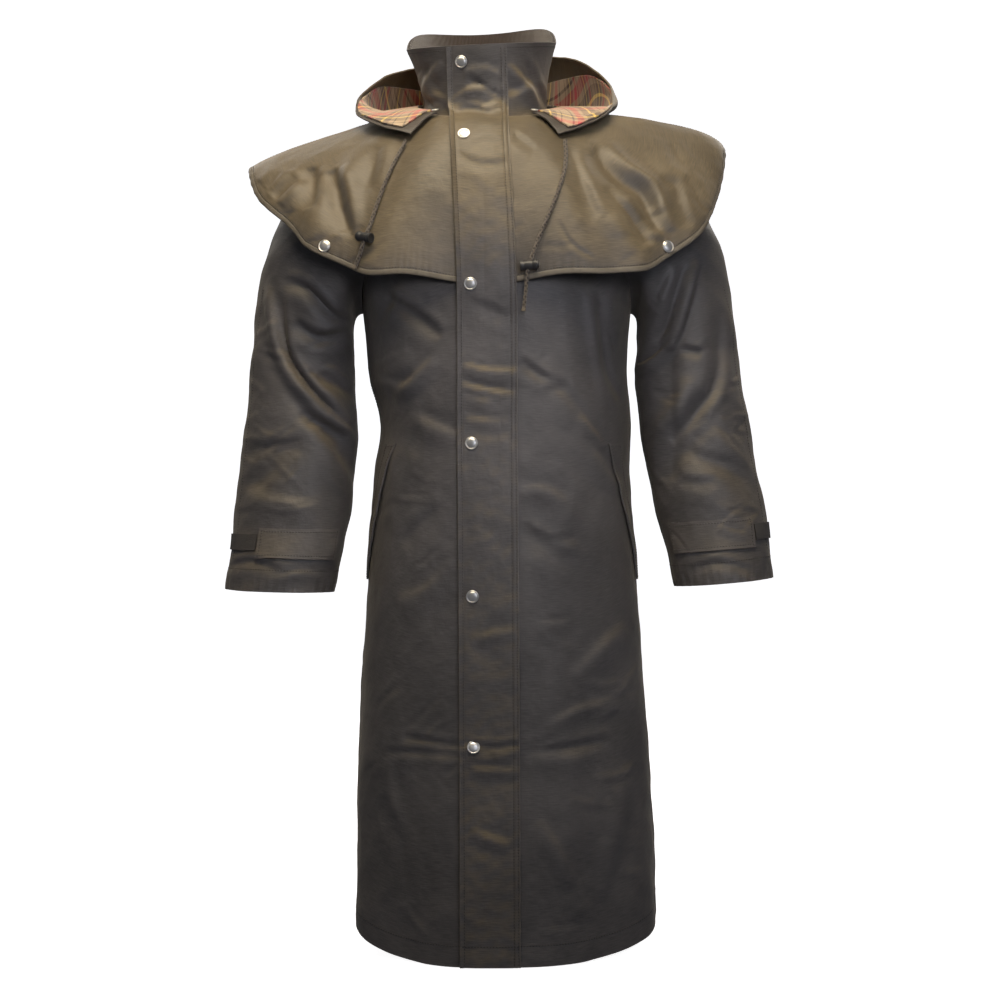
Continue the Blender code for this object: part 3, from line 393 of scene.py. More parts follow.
def make_barrel_lock():
    """One barrel lock: a moulded barrel with flanged ends and a spring button at one end."""
    bpy.ops.mesh.primitive_cylinder_add(vertices=28, radius=BARREL_RADIUS, depth=BARREL_LENGTH)
    barrel = bpy.context.object
    half = BARREL_LENGTH / 2
    bpy.ops.object.mode_set(mode="EDIT")
    pick(lambda place: abs(place.z) < half * 0.5, "FACE")
    bpy.ops.mesh.subdivide(number_cuts=7)
    bpy.ops.mesh.select_mode(type="VERT")
    for low, high, grow in ((0.70, 1.10, 1.10), (0.45, 0.60, 0.93), (0.00, 0.20, 1.04)):
        pick(lambda place: low * half <= abs(place.z) <= high * half)
        bpy.ops.transform.resize(value=(grow, grow, 1.0))
    for end, out in ((1, BUTTON_OUT), (-1, -BUTTON_OUT * 0.4)):
        pick(lambda place: place.z * end > half * 0.99, "FACE")
        bpy.ops.mesh.inset(thickness=BARREL_RADIUS * 0.28)
        bpy.ops.mesh.extrude_region_move(TRANSFORM_OT_translate={"value": (0, 0, out * end)})
    bpy.ops.object.mode_set(mode="OBJECT")
    soften(barrel, 2, 40)
    return barrel


def make_frayed_end():
    """The cut end of a cord, a short brush of loose fibres that spreads a little."""
    bpy.ops.mesh.primitive_cone_add(
        vertices=14, radius1=CORD_DIAMETER * 0.42, radius2=CORD_DIAMETER * 0.55, depth=FRAY_LENGTH
    )
    fray = bpy.context.object
    bpy.ops.object.mode_set(mode="EDIT")
    pick(lambda place: place.z > 0 and math.sin(7 * math.atan2(place.y, place.x)) > 0)
    bpy.ops.transform.translate(value=(0, 0, FRAY_LENGTH * 0.35))
    bpy.ops.transform.resize(value=(1.25, 1.25, 1.0))
    bpy.ops.object.mode_set(mode="OBJECT")
    bpy.ops.object.shade_smooth_by_angle(angle=math.radians(60))
    return fray


def lay_cord(side, finish):
    """A cord along its stations, from the eyelet to its cut end."""
    share, degrees, over = through(CORD_STATIONS[side], CORD_FINE_POINTS)
    line = spaced(lifted(cape_fall, share, np.radians(degrees), over), CORD_POINTS)
    route = bpy.data.curves.new(f"hood_drawcord_{SIDE_NAMES[side]}", "CURVE")
    route.dimensions = "3D"
    route.bevel_depth = CORD_DIAMETER / 2
    route.bevel_resolution = 4
    route.use_fill_caps = True
    points = route.splines.new("POLY").points
    points.add(len(line) - 1)
    for point, place in zip(points, line):
        point.co = (*place, 1.0)
    cord = bpy.data.objects.new(route.name, route)
    bpy.context.scene.collection.objects.link(cord)
    route.materials.append(finish)
    return cord, line


cord_braid, lock_plastic, cord_core = braided_cord(), black_plastic(), cut_end()
first_lock, first_end = make_barrel_lock(), make_frayed_end()
for side, name in SIDE_NAMES.items():
    cord, line = lay_cord(side, cord_braid)
    share, degrees, over = CORD_STATIONS[side][LOCK_STATION]
    angle = math.radians(degrees)
    sideways = cape_fall(share, angle + 0.06) - cape_fall(share, angle - 0.06)
    lock = copy_of(first_lock, f"barrel_lock_{name}")
    settle(lock, facing(lifted(cape_fall, np.array(share), angle, over), sideways * side))
    lock.data.materials.append(lock_plastic)
    end = copy_of(first_end, f"drawcord_end_{name}")
    settle(end, facing(line[-1], line[-1] - line[-3]))
    end.data.materials.append(cord_core)
    wear(cord, "cord", f"drawcord_{name}", f"drawcord_tail_{name}")
    wear(lock, "lock", f"cord_lock_{name}")
    wear(end, "cord")
for spare in (first_lock, first_end):
    bpy.data.objects.remove(spare)


# Body: two fronts and a back of proofed cotton, sewn at the sides and shoulders, with a turned hem. The
# cloth is dark olive brown outside, with a soft sheen, and a plaid cotton lining inside.
UNDERARM = -0.285
HEM = -1.155
HEM_SIDE_LIFT = 0.045
HEM_LIFT_POWER = 5
BODY_BOXINESS = 2.3
SHOULDER_OUT = 0.040
SHOULDER_OUT_POWER = 6
SHOULDER_DROPS = {RIGHT: 0.026, LEFT: 0.024}
ARMHOLE_TOP = 0.52
ARMHOLE_HALF_ANGLE = math.radians(32)
HEM_DEPTH = 0.027
SIDE_SEAM_IN = 0.005
# Sections from the hem up: height, line of the front opening, reach to the right, left, front and back
BODY_SECTIONS = np.array([
    (-1.155, -0.0065, 0.187, 0.231, 0.190, 0.208), (-0.990, -0.0072, 0.187, 0.226, 0.181, 0.190),
    (-0.785, -0.0085, 0.179, 0.214, 0.172, 0.165), (-0.630, -0.0095, 0.167, 0.204, 0.166, 0.142),
    (-0.500, -0.0105, 0.158, 0.197, 0.164, 0.126), (-0.440, -0.0106, 0.150, 0.199, 0.163, 0.121),
    (-0.378, -0.0110, 0.164, 0.194, 0.164, 0.124), (-0.285, -0.0118, 0.174, 0.199, 0.166, 0.132),
])
# How square the shoulder is, by angle
BODY_ROUNDNESS = np.array([
    (0, 1.00), (47, 1.22), (70, 0.80), (90, 0.62), (110, 0.80), (135, 1.10), (180, 0.95),
])
# Long soft folds of the skirt: angle, width, depth at the hem, height where each starts
SKIRT_FOLDS = (
    (-62, 17, 0.009, -0.560), (-33, 16, -0.007, -0.700), (36, 15, -0.007, -0.620), (64, 16, 0.010, -0.540),
    (118, 15, -0.013, -0.520), (143, 14, 0.016, -0.460), (168, 13, -0.016, -0.430),
    (192, 13, 0.014, -0.430), (216, 14, -0.015, -0.460), (241, 15, 0.012, -0.520),
)
# Creases of the fronts, as lines of (across, up) places with a width and a depth
FRONT_CREASES = (
    (((-0.150, -0.272), (-0.102, -0.304), (-0.072, -0.330)), 0.012, -0.0085),
    (((-0.144, -0.254), (-0.148, -0.283), (-0.163, -0.307)), 0.014, -0.0050),
    (((0.137, -0.267), (0.145, -0.296), (0.161, -0.342)), 0.011, -0.0055),
    (((0.169, -0.266), (0.182, -0.291)), 0.010, -0.0045),
    (((0.113, -0.266), (0.121, -0.326), (0.133, -0.395)), 0.012, -0.0035),
    (((-0.110, -0.378), (-0.146, -0.404)), 0.014, -0.0050),
    (((-0.119, -0.434), (-0.086, -0.451), (-0.050, -0.467)), 0.015, 0.0045),
    (((0.065, -0.403), (0.092, -0.400), (0.124, -0.437)), 0.010, -0.0040),
    (((0.032, -0.362), (0.065, -0.386)), 0.010, -0.0030),
    (((0.032, -0.535), (0.065, -0.535), (0.095, -0.553)), 0.013, 0.0032),
    (((0.035, -0.585), (0.065, -0.609), (0.111, -0.625)), 0.014, -0.0032),
    (((0.104, -0.454), (0.144, -0.507), (0.166, -0.533)), 0.016, 0.0040),
    (((-0.123, -0.858), (-0.086, -0.863), (-0.040, -0.867)), 0.006, -0.0034),
    (((-0.147, -0.881), (-0.093, -0.877), (-0.040, -0.880)), 0.006, -0.0032),
    (((-0.048, -0.893), (-0.067, -0.907)), 0.007, -0.0020),
    (((-0.147, -0.888), (-0.136, -0.980), (-0.118, -1.090)), 0.018, 0.0040),
    (((0.178, -0.896), (0.163, -0.980), (0.137, -1.076)), 0.020, 0.0045),
    (((0.065, -0.846), (0.111, -0.825), (0.163, -0.817)), 0.012, 0.0030),
    (((0.038, -0.868), (0.084, -0.859)), 0.008, -0.0022),
    (((-0.132, -0.684), (-0.086, -0.664), (-0.054, -0.625)), 0.016, 0.0030),
    (((-0.128, -0.605), (-0.093, -0.572), (-0.067, -0.553)), 0.016, -0.0030),
    (((-0.165, -0.383), (-0.122, -0.395), (-0.081, -0.360)), 0.010, 0.0055),
    (((0.140, -0.285), (0.152, -0.360), (0.169, -0.407)), 0.009, -0.0060),
    (((0.035, -0.360), (0.062, -0.382), (0.106, -0.395)), 0.008, -0.0032),
    (((0.111, -0.436), (0.146, -0.476)), 0.009, 0.0045),
    (((0.033, -0.578), (0.070, -0.598), (0.111, -0.593)), 0.009, -0.0022),
    (((0.103, -0.785), (0.140, -0.748), (0.176, -0.717)), 0.018, 0.0045),
    (((0.036, -0.877), (0.090, -0.872), (0.152, -0.864)), 0.009, -0.0035),
    (((0.054, -0.969), (0.080, -1.010), (0.103, -1.055)), 0.016, 0.0038),
    (((-0.150, -0.940), (-0.128, -1.010), (-0.120, -1.080)), 0.016, -0.0038),
)
BACK_CREASES = (
    (((-0.120, -0.330), (-0.040, -0.372), (0.050, -0.366)), 0.016, -0.0045),
    (((0.130, -0.345), (0.060, -0.402), (-0.020, -0.415)), 0.016, 0.0040),
    (((-0.110, -0.455), (-0.020, -0.470), (0.080, -0.452)), 0.014, -0.0035),
    (((-0.140, -0.640), (-0.100, -0.780), (-0.090, -0.960)), 0.022, 0.0040),
    (((0.110, -0.610), (0.080, -0.800), (0.085, -1.000)), 0.022, -0.0040),
)
# A crease's profile: width of its steep side, raised shoulders, share of the depth kept, steps of its curve
CREASE_STEEP = 0.5
CREASE_SHOULDER = 0.42
CREASE_SHOULDER_AT = 1.9
CREASE_SHOULDER_WIDTH = 1.1
CREASE_REST = 0.66
CREASE_STEPS = 4
# Strewn wrinkles: half length, steepest heading, bow, width and depth
WRINKLE_REACH = (0.014, 0.036)
WRINKLE_HEADING = 0.9
WRINKLE_BOW = 0.25
WRINKLE_WIDTH = (0.0040, 0.0065)
WRINKLE_DEPTH = (0.0008, 0.0016)
# Crumple: number of waves, range of their lengths, how they sway and how sharp they are
CRUMPLE_WAVES = 10
CRUMPLE_LENGTHS = (0.6, 1.9)
CRUMPLE_SWAY = 1.3
CRUMPLE_SWAY_LENGTH = 2.3
CRUMPLE_SHARPNESS = 0.9
# Unevenness of the body's cloth, coarse and fine: depth, size and seed
BODY_UNEVEN = (0.0021, 0.13, 3), (0.0006, 0.045, 8)
BODY_RADIUS = 0.19
FACING_GAIN = 1.6


def crease(x, z, line, width, depth):
    """A crease along a line, steep on its upper side, with raised shoulders, that fades out at both ends."""
    nearest = np.full(x.shape, np.inf)
    share = np.zeros(x.shape)
    steep = np.zeros(x.shape, bool)
    pieces = len(line) - 1
    for number, ((x0, z0), (x1, z1)) in enumerate(zip(line, line[1:])):
        dx, dz = x1 - x0, z1 - z0
        t = np.clip(((x - x0) * dx + (z - z0) * dz) / (dx * dx + dz * dz), 0, 1)
        away = np.hypot(x - x0 - t * dx, z - z0 - t * dz)
        closer = away < nearest
        nearest = np.where(closer, away, nearest)
        share = np.where(closer, (number + t) / pieces, share)
        steep = np.where(closer, dx * (z - z0) > dz * (x - x0), steep)
    fade = np.sqrt(np.clip(4 * share * (1 - share), 0, 1))
    wide = np.where(steep, CREASE_STEEP * width, width)
    beyond = (nearest - CREASE_SHOULDER_AT * wide) / (CREASE_SHOULDER_WIDTH * wide)
    shoulders = CREASE_SHOULDER * np.exp(-(beyond**2))
    return CREASE_REST * depth * fade * (np.exp(-((nearest / wide) ** 2)) - shoulders)


def curved(line):
    """The points of a crease's line, joined by a smooth curve."""
    return np.stack(through(np.array(line), CREASE_STEPS * (len(line) - 1) + 1), axis=1)


def creases(x, z, table):
    total = np.zeros(x.shape)
    for line, width, depth in table:
        total = total + crease(x, z, curved(line), width, depth)
    return total


def wrinkles(seed, count, low, high):
    """Short wrinkles strewn over a stretch of cloth, as a table of creases."""
    draw = np.random.default_rng(seed)
    table = []
    for _ in range(count):
        middle = draw.uniform(low, high)
        heading = draw.uniform(-WRINKLE_HEADING, WRINKLE_HEADING)
        reach = draw.uniform(*WRINKLE_REACH) * np.array([math.cos(heading), math.sin(heading)])
        bow = draw.uniform(-WRINKLE_BOW, WRINKLE_BOW) * np.array([-reach[1], reach[0]])
        line = (tuple(middle - reach), tuple(middle + bow), tuple(middle + reach))
        width = draw.uniform(*WRINKLE_WIDTH)
        table.append((line, width, draw.choice((-1, 1)) * draw.uniform(*WRINKLE_DEPTH)))
    return tuple(table)


def crumple(u, v, depth, size, seed):
    """The slight unevenness of worn cloth: crossing waves of several lengths, to about a depth each way."""
    draw = np.random.default_rng(seed)
    total = np.zeros(np.broadcast(u, v).shape)
    for _ in range(CRUMPLE_WAVES):
        heading, start, sway = draw.uniform(0, 2 * math.pi, 3)
        length = size * draw.uniform(*CRUMPLE_LENGTHS)
        along = u * math.cos(heading) + v * math.sin(heading)
        across = v * math.cos(heading) - u * math.sin(heading)
        swing = np.sin(2 * math.pi * across / (CRUMPLE_SWAY_LENGTH * length) + sway)
        wave = 2 * math.pi * along / length + start + CRUMPLE_SWAY * swing
        total = total + 1 - 2 * np.abs(np.sin(wave / 2)) ** CRUMPLE_SHARPNESS
    return depth * (total / (CRUMPLE_WAVES / 2))


def body_ring(height, angle):
    """The body's section at a height, with the skirt's folds."""
    line, right, left, front, back = table_at(BODY_SECTIONS, height)
    s, c = np.sin(angle), np.cos(angle)
    power = 2 / BODY_BOXINESS
    x = np.where(s < 0, right, left) * np.sign(s) * np.abs(s) ** power
    y = -np.where(c > 0, front, back) * np.sign(c) * np.abs(c) ** power
    swell = np.zeros_like(x)
    for middle, width, depth, top in SKIRT_FOLDS:
        grown = np.clip((top - height) / (top - HEM), 0, 1)
        away = np.degrees(np.abs(turned(angle - math.radians(middle))))
        swell = swell + depth * grown**0.8 * hump(away, width)
    grow = 1 + swell / np.hypot(x, y)
    return np.stack([line + x * grow, y * grow, height + 0 * x], axis=-1)


def hem_height(angle):
    return HEM + HEM_SIDE_LIFT * np.abs(np.sin(angle)) ** HEM_LIFT_POWER


def body_form(level, angle):
    """The body's plain form. Level 0 is the hem, 1 the underarm and 2 the neckline."""
    level, angle = arrays(level, angle)
    hem = hem_height(angle)
    lower = body_ring(hem + np.clip(level, -0.1, 1) * (UNDERARM - hem), angle)
    climb = np.clip(level - 1, 0, 1) * math.pi / 2
    neck = neck_point(angle)
    power = table_at(BODY_ROUNDNESS, np.degrees(np.abs(turned(angle))))[0][..., None]
    far = np.clip(np.cos(climb), 0, 1)[..., None] ** power
    high = np.sin(climb)[..., None] ** power
    flat = neck[..., :2] + (lower - neck)[..., :2] * far
    upper = np.concatenate([flat, lower[..., 2:] + (neck - lower)[..., 2:] * high], axis=-1)
    side, corner = np.sin(angle), np.sin(2 * climb)
    upper[..., 0] += SHOULDER_OUT * corner * np.sign(side) * side**SHOULDER_OUT_POWER
    upper[..., 2] -= np.where(side < 0, SHOULDER_DROPS[RIGHT], SHOULDER_DROPS[LEFT]) * corner * side**2
    return np.where((level <= 1)[..., None], lower, upper)


def front_share(normal):
    """How far a place faces the front, 0 to 1."""
    return np.clip(-FACING_GAIN * normal[..., 1], 0, 1)


FRONT_WRINKLES = wrinkles(5, 38, (-0.17, -1.10), (0.20, -0.30))
BACK_WRINKLES = wrinkles(6, 36, (-0.17, -1.10), (0.20, -0.32))
FLAP_MIDDLE = -0.009
UNDER_FLAP = 0.041
UNDER_FLAP_FADE = 0.012


def body_cloth(level, angle):
    """The body with the creases and slight unevenness of its cloth."""
    level, angle = arrays(level, angle)
    points = body_form(level, angle)
    normal = outward(body_form, level, angle)
    x, z = points[..., 0], points[..., 2]
    arc = angle * BODY_RADIUS
    open_cloth = np.clip((np.abs(x - FLAP_MIDDLE) - UNDER_FLAP) / UNDER_FLAP_FADE, 0, 1)
    ahead = creases(x, z, FRONT_CREASES) + open_cloth * creases(x, z, FRONT_WRINKLES)
    move = ahead * front_share(normal)
    move = move + (creases(x, z, BACK_CREASES) + creases(x, z, BACK_WRINKLES)) * front_share(-normal)
    calm = np.clip((2 - level) * 4, 0, 1)
    coarse, fine = BODY_UNEVEN
    move = move + calm * (crumple(arc, z * 0.7, *coarse) + crumple(arc, z, *fine))
    return points + normal * move[..., None]


def run_lengths(points):
    """How far each corner of a grid is along its row and up its column."""
    across = np.linalg.norm(np.diff(points, axis=1), axis=2)
    up = np.linalg.norm(np.diff(points, axis=0), axis=2)
    across = np.concatenate([np.zeros((len(points), 1)), np.cumsum(across, axis=1)], axis=1)
    up = np.concatenate([np.zeros((1, points.shape[1])), np.cumsum(up, axis=0)], axis=0)
    return across, up


def grid_normals(points):
    normal = np.cross(np.gradient(points, axis=1), np.gradient(points, axis=0))
    return normal / np.linalg.norm(normal, axis=-1, keepdims=True)


# How far cloth has to face up to carry the painted top light, from none to all of it: bronze tones painted
# where the overhead light falls
PAINTED_LIGHT_FACING = (0.12, 0.72)
CLOTH_SMOOTH = math.radians(50)


def woven_grid(name, points, lay=None):
    """A flat grid bent to its points, with its weave in metres, and how far its corners are along and up it.

    Lay gives the weave's place along each row where it is cut on the round.
    """
    rows, columns = points.shape[:2]
    bpy.ops.object.select_all(action="DESELECT")
    bpy.ops.mesh.primitive_grid_add(x_subdivisions=columns - 1, y_subdivisions=rows - 1)
    grid = bpy.context.object
    grid.name = name
    mesh = grid.data
    mesh.vertices.foreach_set("co", points.astype(np.float32).ravel())
    across, up = run_lengths(points)
    corners = np.empty(len(mesh.loops), np.int32)
    mesh.loops.foreach_get("vertex_index", corners)
    weave = across - across[:, columns // 2, None] if lay is None else lay
    flat = np.stack([weave.ravel(), up.ravel()], axis=1)
    mesh.uv_layers[0].data.foreach_set("uv", flat[corners].astype(np.float32).ravel())
    return grid, across, up


def join_corners():
    """Goes to edit mode and joins the corners that meet."""
    bpy.ops.object.mode_set(mode="EDIT")
    bpy.ops.mesh.select_all(action="SELECT")
    bpy.ops.mesh.remove_doubles(threshold=1e-5)


def cloth_panel(name, points, finish, wall=CLOTH, lining=None, closed=False, lay=None, fade=PAINTED_LIGHT_FACING):
    """A cut panel: a woven grid that is given its wall.

    Fade says how far the cloth faces up where its painted top light starts and where it is whole.
    """
    panel, across, up = woven_grid(name, points, lay)
    mesh = panel.data
    edge = np.minimum(up, up[-1] - up)
    if not closed:
        edge = np.minimum(edge, np.minimum(across, across[:, -1:] - across))
    # Painted top light: a share of bronze tone, painted where the panel faces up, in place of the overhead
    # light
    low, high = fade
    painted_top_light = np.clip((grid_normals(points)[..., 2] - low) / (high - low), 0, 1)
    for attribute, values in (("edge", edge), ("painted_top_light", painted_top_light)):
        kept = mesh.attributes.new(attribute, "FLOAT", "POINT")
        kept.data.foreach_set("value", values.astype(np.float32).ravel())
    if closed:
        join_corners()
        bpy.ops.object.mode_set(mode="OBJECT")
    mesh.materials.append(finish)
    thick = panel.modifiers.new("wall", "SOLIDIFY")
    thick.thickness = wall
    thick.offset = 0.0
    if lining:
        mesh.materials.append(lining)
        thick.material_offset = 1
    bpy.ops.object.modifier_apply(modifier=thick.name)
    bpy.ops.object.shade_smooth_by_angle(angle=CLOTH_SMOOTH)
    return panel


def proofed_cotton(name, deep, light, gloss, painted_top_light):
    """Tightly woven proofed cotton: fine crossing threads, cloudy tone, and paler rubbed edges.

    The last argument gives the two bronze tones of painted top light, laid where the cloth faces up as if lit
    from above.
    """
    finish, shader = nodes_of(name)
    flat, place = coordinate(finish, "UV"), coordinate(finish, "Object")
    clouds = noise(finish, place, 9.0, 4.0)
    slubs = put(finish, "Mapping", {"Vector": flat, "Scale": (60.0, 900.0, 1.0)})
    slub = noise(finish, slubs.outputs[0], 1.0)
    threads = [
        put(finish, "TexWave", {"Vector": flat, "Scale": 420.0}, bands_direction=axis).outputs[1]
        for axis in ("X", "Y")
    ]
    fine = reckon(finish, "MULTIPLY_ADD", slub, reckon(finish, "MULTIPLY", *threads), 0.35)
    mixed = reckon(finish, "ADD", clouds, slub)
    cloudy = span(finish, mixed, 0.0, 1.0, 0.75, 1.25)
    tone = blend_colours(finish, cloudy, deep, light)
    # Painted top light: bronze tones blended in where the cloth faces up, as the overhead lamp would light it
    share = put(finish, "Attribute", {}, attribute_name="painted_top_light").outputs["Fac"]
    tone = blend_colours(finish, share, tone, blend_colours(finish, cloudy, *painted_top_light))
    near = put(finish, "Attribute", {}, attribute_name="edge").outputs["Fac"]
    worn = reckon(finish, "MULTIPLY", span(finish, near, 0.22, 0.0, 0.0, 0.006), slub)
    tone = blend_colours(finish, worn, tone, [min(1.0, 1.7 * part + 0.012) for part in light])
    rough = span(finish, mixed, gloss - 0.05, gloss + 0.09, 0.6, 1.4)
    crinkles = put(finish, "TexNoise", {"Vector": place, "Scale": 55.0, "Detail": 5.0, "Roughness": 0.55})
    creased = relief(finish, crinkles.outputs[0], 0.45, 0.0022)
    woven = relief(finish, fine, 0.30, 0.0003, Normal=creased)
    feed(finish, shader, {"Base Color": tone, "Roughness": rough, "Normal": woven, "Sheen Weight": 0.12})
    feed(finish, shader, {"Sheen Roughness": 0.45, "Specular IOR Level": 0.42, "Sheen Tint": SHEEN_TINT})
    return finish


SHEEN_TINT = (0.80, 0.70, 0.52)
# Plaid by share of its repeat: where each stripe starts, and its colour
PLAID_REPEAT = 0.066
PLAID_TAN = (0.400, 0.285, 0.166)
PLAID_BROWN = (0.100, 0.060, 0.040)
PLAID_INK = (0.012, 0.008, 0.007)
PLAID_RED = (0.480, 0.040, 0.045)
PLAID_STRAW = (0.900, 0.640, 0.110)
PLAID_NAP = (0.36, 0.26, 0.16)
PLAID_STRIPES = (
    (0.00, PLAID_TAN), (0.13, PLAID_INK), (0.17, PLAID_TAN), (0.24, PLAID_RED), (0.38, PLAID_TAN),
    (0.46, PLAID_BROWN), (0.60, PLAID_STRAW), (0.645, PLAID_BROWN), (0.78, PLAID_TAN), (0.88, PLAID_INK),
    (0.91, PLAID_TAN),
)


def plaid_cotton(name, bias=0):
    """Brushed cotton in a plain plaid of tan, brown, red and straw, the same stripes both ways."""
    finish, shader = nodes_of(name)
    flat = coordinate(finish, "UV")
    laid = put(finish, "Mapping", {"Vector": flat, "Rotation": (0, 0, math.radians(bias))})
    parts = put(finish, "SeparateXYZ", {0: laid.outputs[0]}).outputs
    ways = []
    for part in parts[:2]:
        turns = reckon(finish, "MULTIPLY", part, 1 / PLAID_REPEAT)
        ramp = put(finish, "ValToRGB", {0: reckon(finish, "FRACT", turns)})
        stops = ramp.color_ramp.elements
        ramp.color_ramp.interpolation = "CONSTANT"
        stops.remove(stops[1])
        stops[0].color = (*PLAID_STRIPES[0][1], 1.0)
        for at, stripe in PLAID_STRIPES[1:]:
            stops.new(at).color = (*stripe, 1.0)
        ways.append(ramp.outputs[0])
    lines = bias_lines(finish, flat, 260.0)
    nap = noise(finish, flat, 700.0, 3.0)
    crossed = blend_colours(finish, span(finish, lines, 0.36, 0.64), *ways)
    tone = (span(finish, nap, 0.0, 0.18), crossed, PLAID_NAP)
    height = reckon(finish, "ADD", lines, nap)
    sheen = {"Sheen Weight": 0.25, "Sheen Roughness": 0.6}
    return complete(finish, shader, tone, (nap, 0.80, 0.98), (height, 0.4, 0.0004), sheen)


def sewing_thread():
    """Dark polyester thread, twisted, a little glossier than the cloth."""
    finish, shader = nodes_of("sewing_thread")
    twist = noise(finish, coordinate(finish, "Object"), 1500.0, 1.0)
    tone = (twist, (0.008, 0.007, 0.005), (0.024, 0.020, 0.015))
    return complete(finish, shader, tone, (twist, 0.45, 0.65))


STITCH_PITCH = 0.0040
STITCH_LENGTH = 0.0031
STITCH_WIDTH = 0.0012
STITCH_AHEAD = 0.001
SIDES = ("first", "last")
ALL_EDGES = ("low", "high", "first", "last")


def make_stitch():
    """One stitch of thread, long and low, to be repeated along the seams."""
    bpy.ops.mesh.primitive_ico_sphere_add(subdivisions=1, radius=0.5)
    stitch = bpy.context.object
    bpy.ops.object.mode_set(mode="EDIT")
    bpy.ops.mesh.select_all(action="SELECT")
    bpy.ops.transform.resize(value=(STITCH_LENGTH, STITCH_WIDTH, STITCH_WIDTH))
    bpy.ops.object.mode_set(mode="OBJECT")
    corners = np.array([v.co for v in stitch.data.vertices])
    faces = np.array([p.vertices for p in stitch.data.polygons])
    bpy.data.objects.remove(stitch)
    return corners, faces


def seam_line(points, edge, distance):
    """A line on the face of a panel at a distance in from one of its edges, with the normals there."""
    grids = points, grid_normals(points)
    if edge in ("first", "last"):
        grids = [np.swapaxes(grid, 0, 1) for grid in grids]
    if edge in ("high", "last"):
        grids = [grid[::-1] for grid in grids]
    run = run_lengths(grids[0])[1]
    columns = range(run.shape[1])
    line, out = (np.array([at_run(distance, run[:, k], grid[:, k]) for k in columns]) for grid in grids)
    return line + out * (CLOTH / 2), out


def seam_lines(points, edges, distance):
    return [seam_line(points, edge, distance) for edge in edges]


def sew(name, seams):
    """Rows of stitches along seam lines, as one piece."""
    corners, faces = STITCH
    all_corners = []
    for line, out in seams:
        run = run_of(line)
        at = np.arange(STITCH_PITCH, run[-1] - STITCH_PITCH / 2, STITCH_PITCH)
        place, up = at_run(at, run, line), at_run(at, run, out)
        ahead = at_run(at + STITCH_AHEAD, run, line) - place
        ahead /= np.linalg.norm(ahead, axis=1, keepdims=True)
        beside = np.cross(up, ahead)
        beside /= np.linalg.norm(beside, axis=1, keepdims=True)
        up = np.cross(ahead, beside)
        axes = np.stack([ahead, beside, up], axis=1)
        all_corners.append((corners @ axes + place[:, None, :]).reshape(-1, 3))
    all_corners = np.concatenate(all_corners)
    count = len(all_corners) // len(corners)
    all_faces = (faces[None] + np.arange(count)[:, None, None] * len(corners)).reshape(-1, 3)
    mesh = bpy.data.meshes.new(name)
    mesh.from_pydata(all_corners.tolist(), [], all_faces.tolist())
    mesh.shade_smooth()
    mesh.materials.append(thread)
    row = bpy.data.objects.new(name, mesh)
    bpy.context.scene.collection.objects.link(row)
    wear(row, "shell")
    return row


SKIRT_ROWS, ARMHOLE_ROWS, SHOULDER_ROWS = 191, 41, 19
FRONT_COLUMNS, BACK_COLUMNS = 80, 96
FRONT_GAP = 0.0006


def body_levels():
    """Rows of the body's panels, closer together round the armhole."""
    lower = np.linspace(0, 1, SKIRT_ROWS)[:-1]
    round_arm = np.linspace(0, math.pi, ARMHOLE_ROWS)
    shoulder = np.linspace(1 + ARMHOLE_TOP, 2, SHOULDER_ROWS)[1:]
    return np.concatenate([lower, 1 + ARMHOLE_TOP * (1 - np.cos(round_arm)) / 2, shoulder])


def side_angle(levels):
    """How far from the side line a panel stops: at the side seam, the armhole and the shoulder seam."""
    reach = np.clip((levels - 1) / ARMHOLE_TOP, 0, 1)
    return ARMHOLE_HALF_ANGLE * np.sqrt(np.clip(1 - (2 * reach - 1) ** 2, 0, 1))


def body_panel_points(start, stop, columns):
    levels = body_levels()
    angles = start[:, None] + (stop - start)[:, None] * np.linspace(0, 1, columns)
    return body_cloth(np.repeat(levels[:, None], columns, axis=1), angles)


SHELL_DEEP, SHELL_LIGHT = (0.0445, 0.0410, 0.0402), (0.0800, 0.0730, 0.0708)
# Painted top light: the dark and light bronze tones painted where the cloth faces up
PAINTED_TOP_LIGHT_TONES = (0.067, 0.0518, 0.0308), (0.130, 0.0992, 0.0565)
shell = proofed_cotton("proofed_cotton", SHELL_DEEP, SHELL_LIGHT, gloss=0.49, painted_top_light=PAINTED_TOP_LIGHT_TONES)
inside_plaid = plaid_cotton("plaid_body_lining")
thread = sewing_thread()
STITCH = make_stitch()
levels = body_levels()
opening = np.full(len(levels), FRONT_GAP)
for side, name in SIDE_NAMES.items():
    stop = math.pi / 2 - side_angle(levels)
    points = body_panel_points(side * opening, side * stop, FRONT_COLUMNS)[:, ::side]
    panel = cloth_panel(f"front_panel_{name}", points, shell, lining=inside_plaid)
    seams = sew(f"front_stitches_{name}", [seam_line(points, "low", HEM_DEPTH)])
    wear(panel, "shell", f"front_{name}")
start = math.pi / 2 + side_angle(levels)
points = body_panel_points(start, 2 * math.pi - start, BACK_COLUMNS)
panel = cloth_panel("back_panel", points, shell, lining=inside_plaid)
lines = [seam_line(points, "low", HEM_DEPTH), *seam_lines(points, SIDES, SIDE_SEAM_IN)]
seams = sew("back_stitches", lines)
wear(panel, "shell", "back")


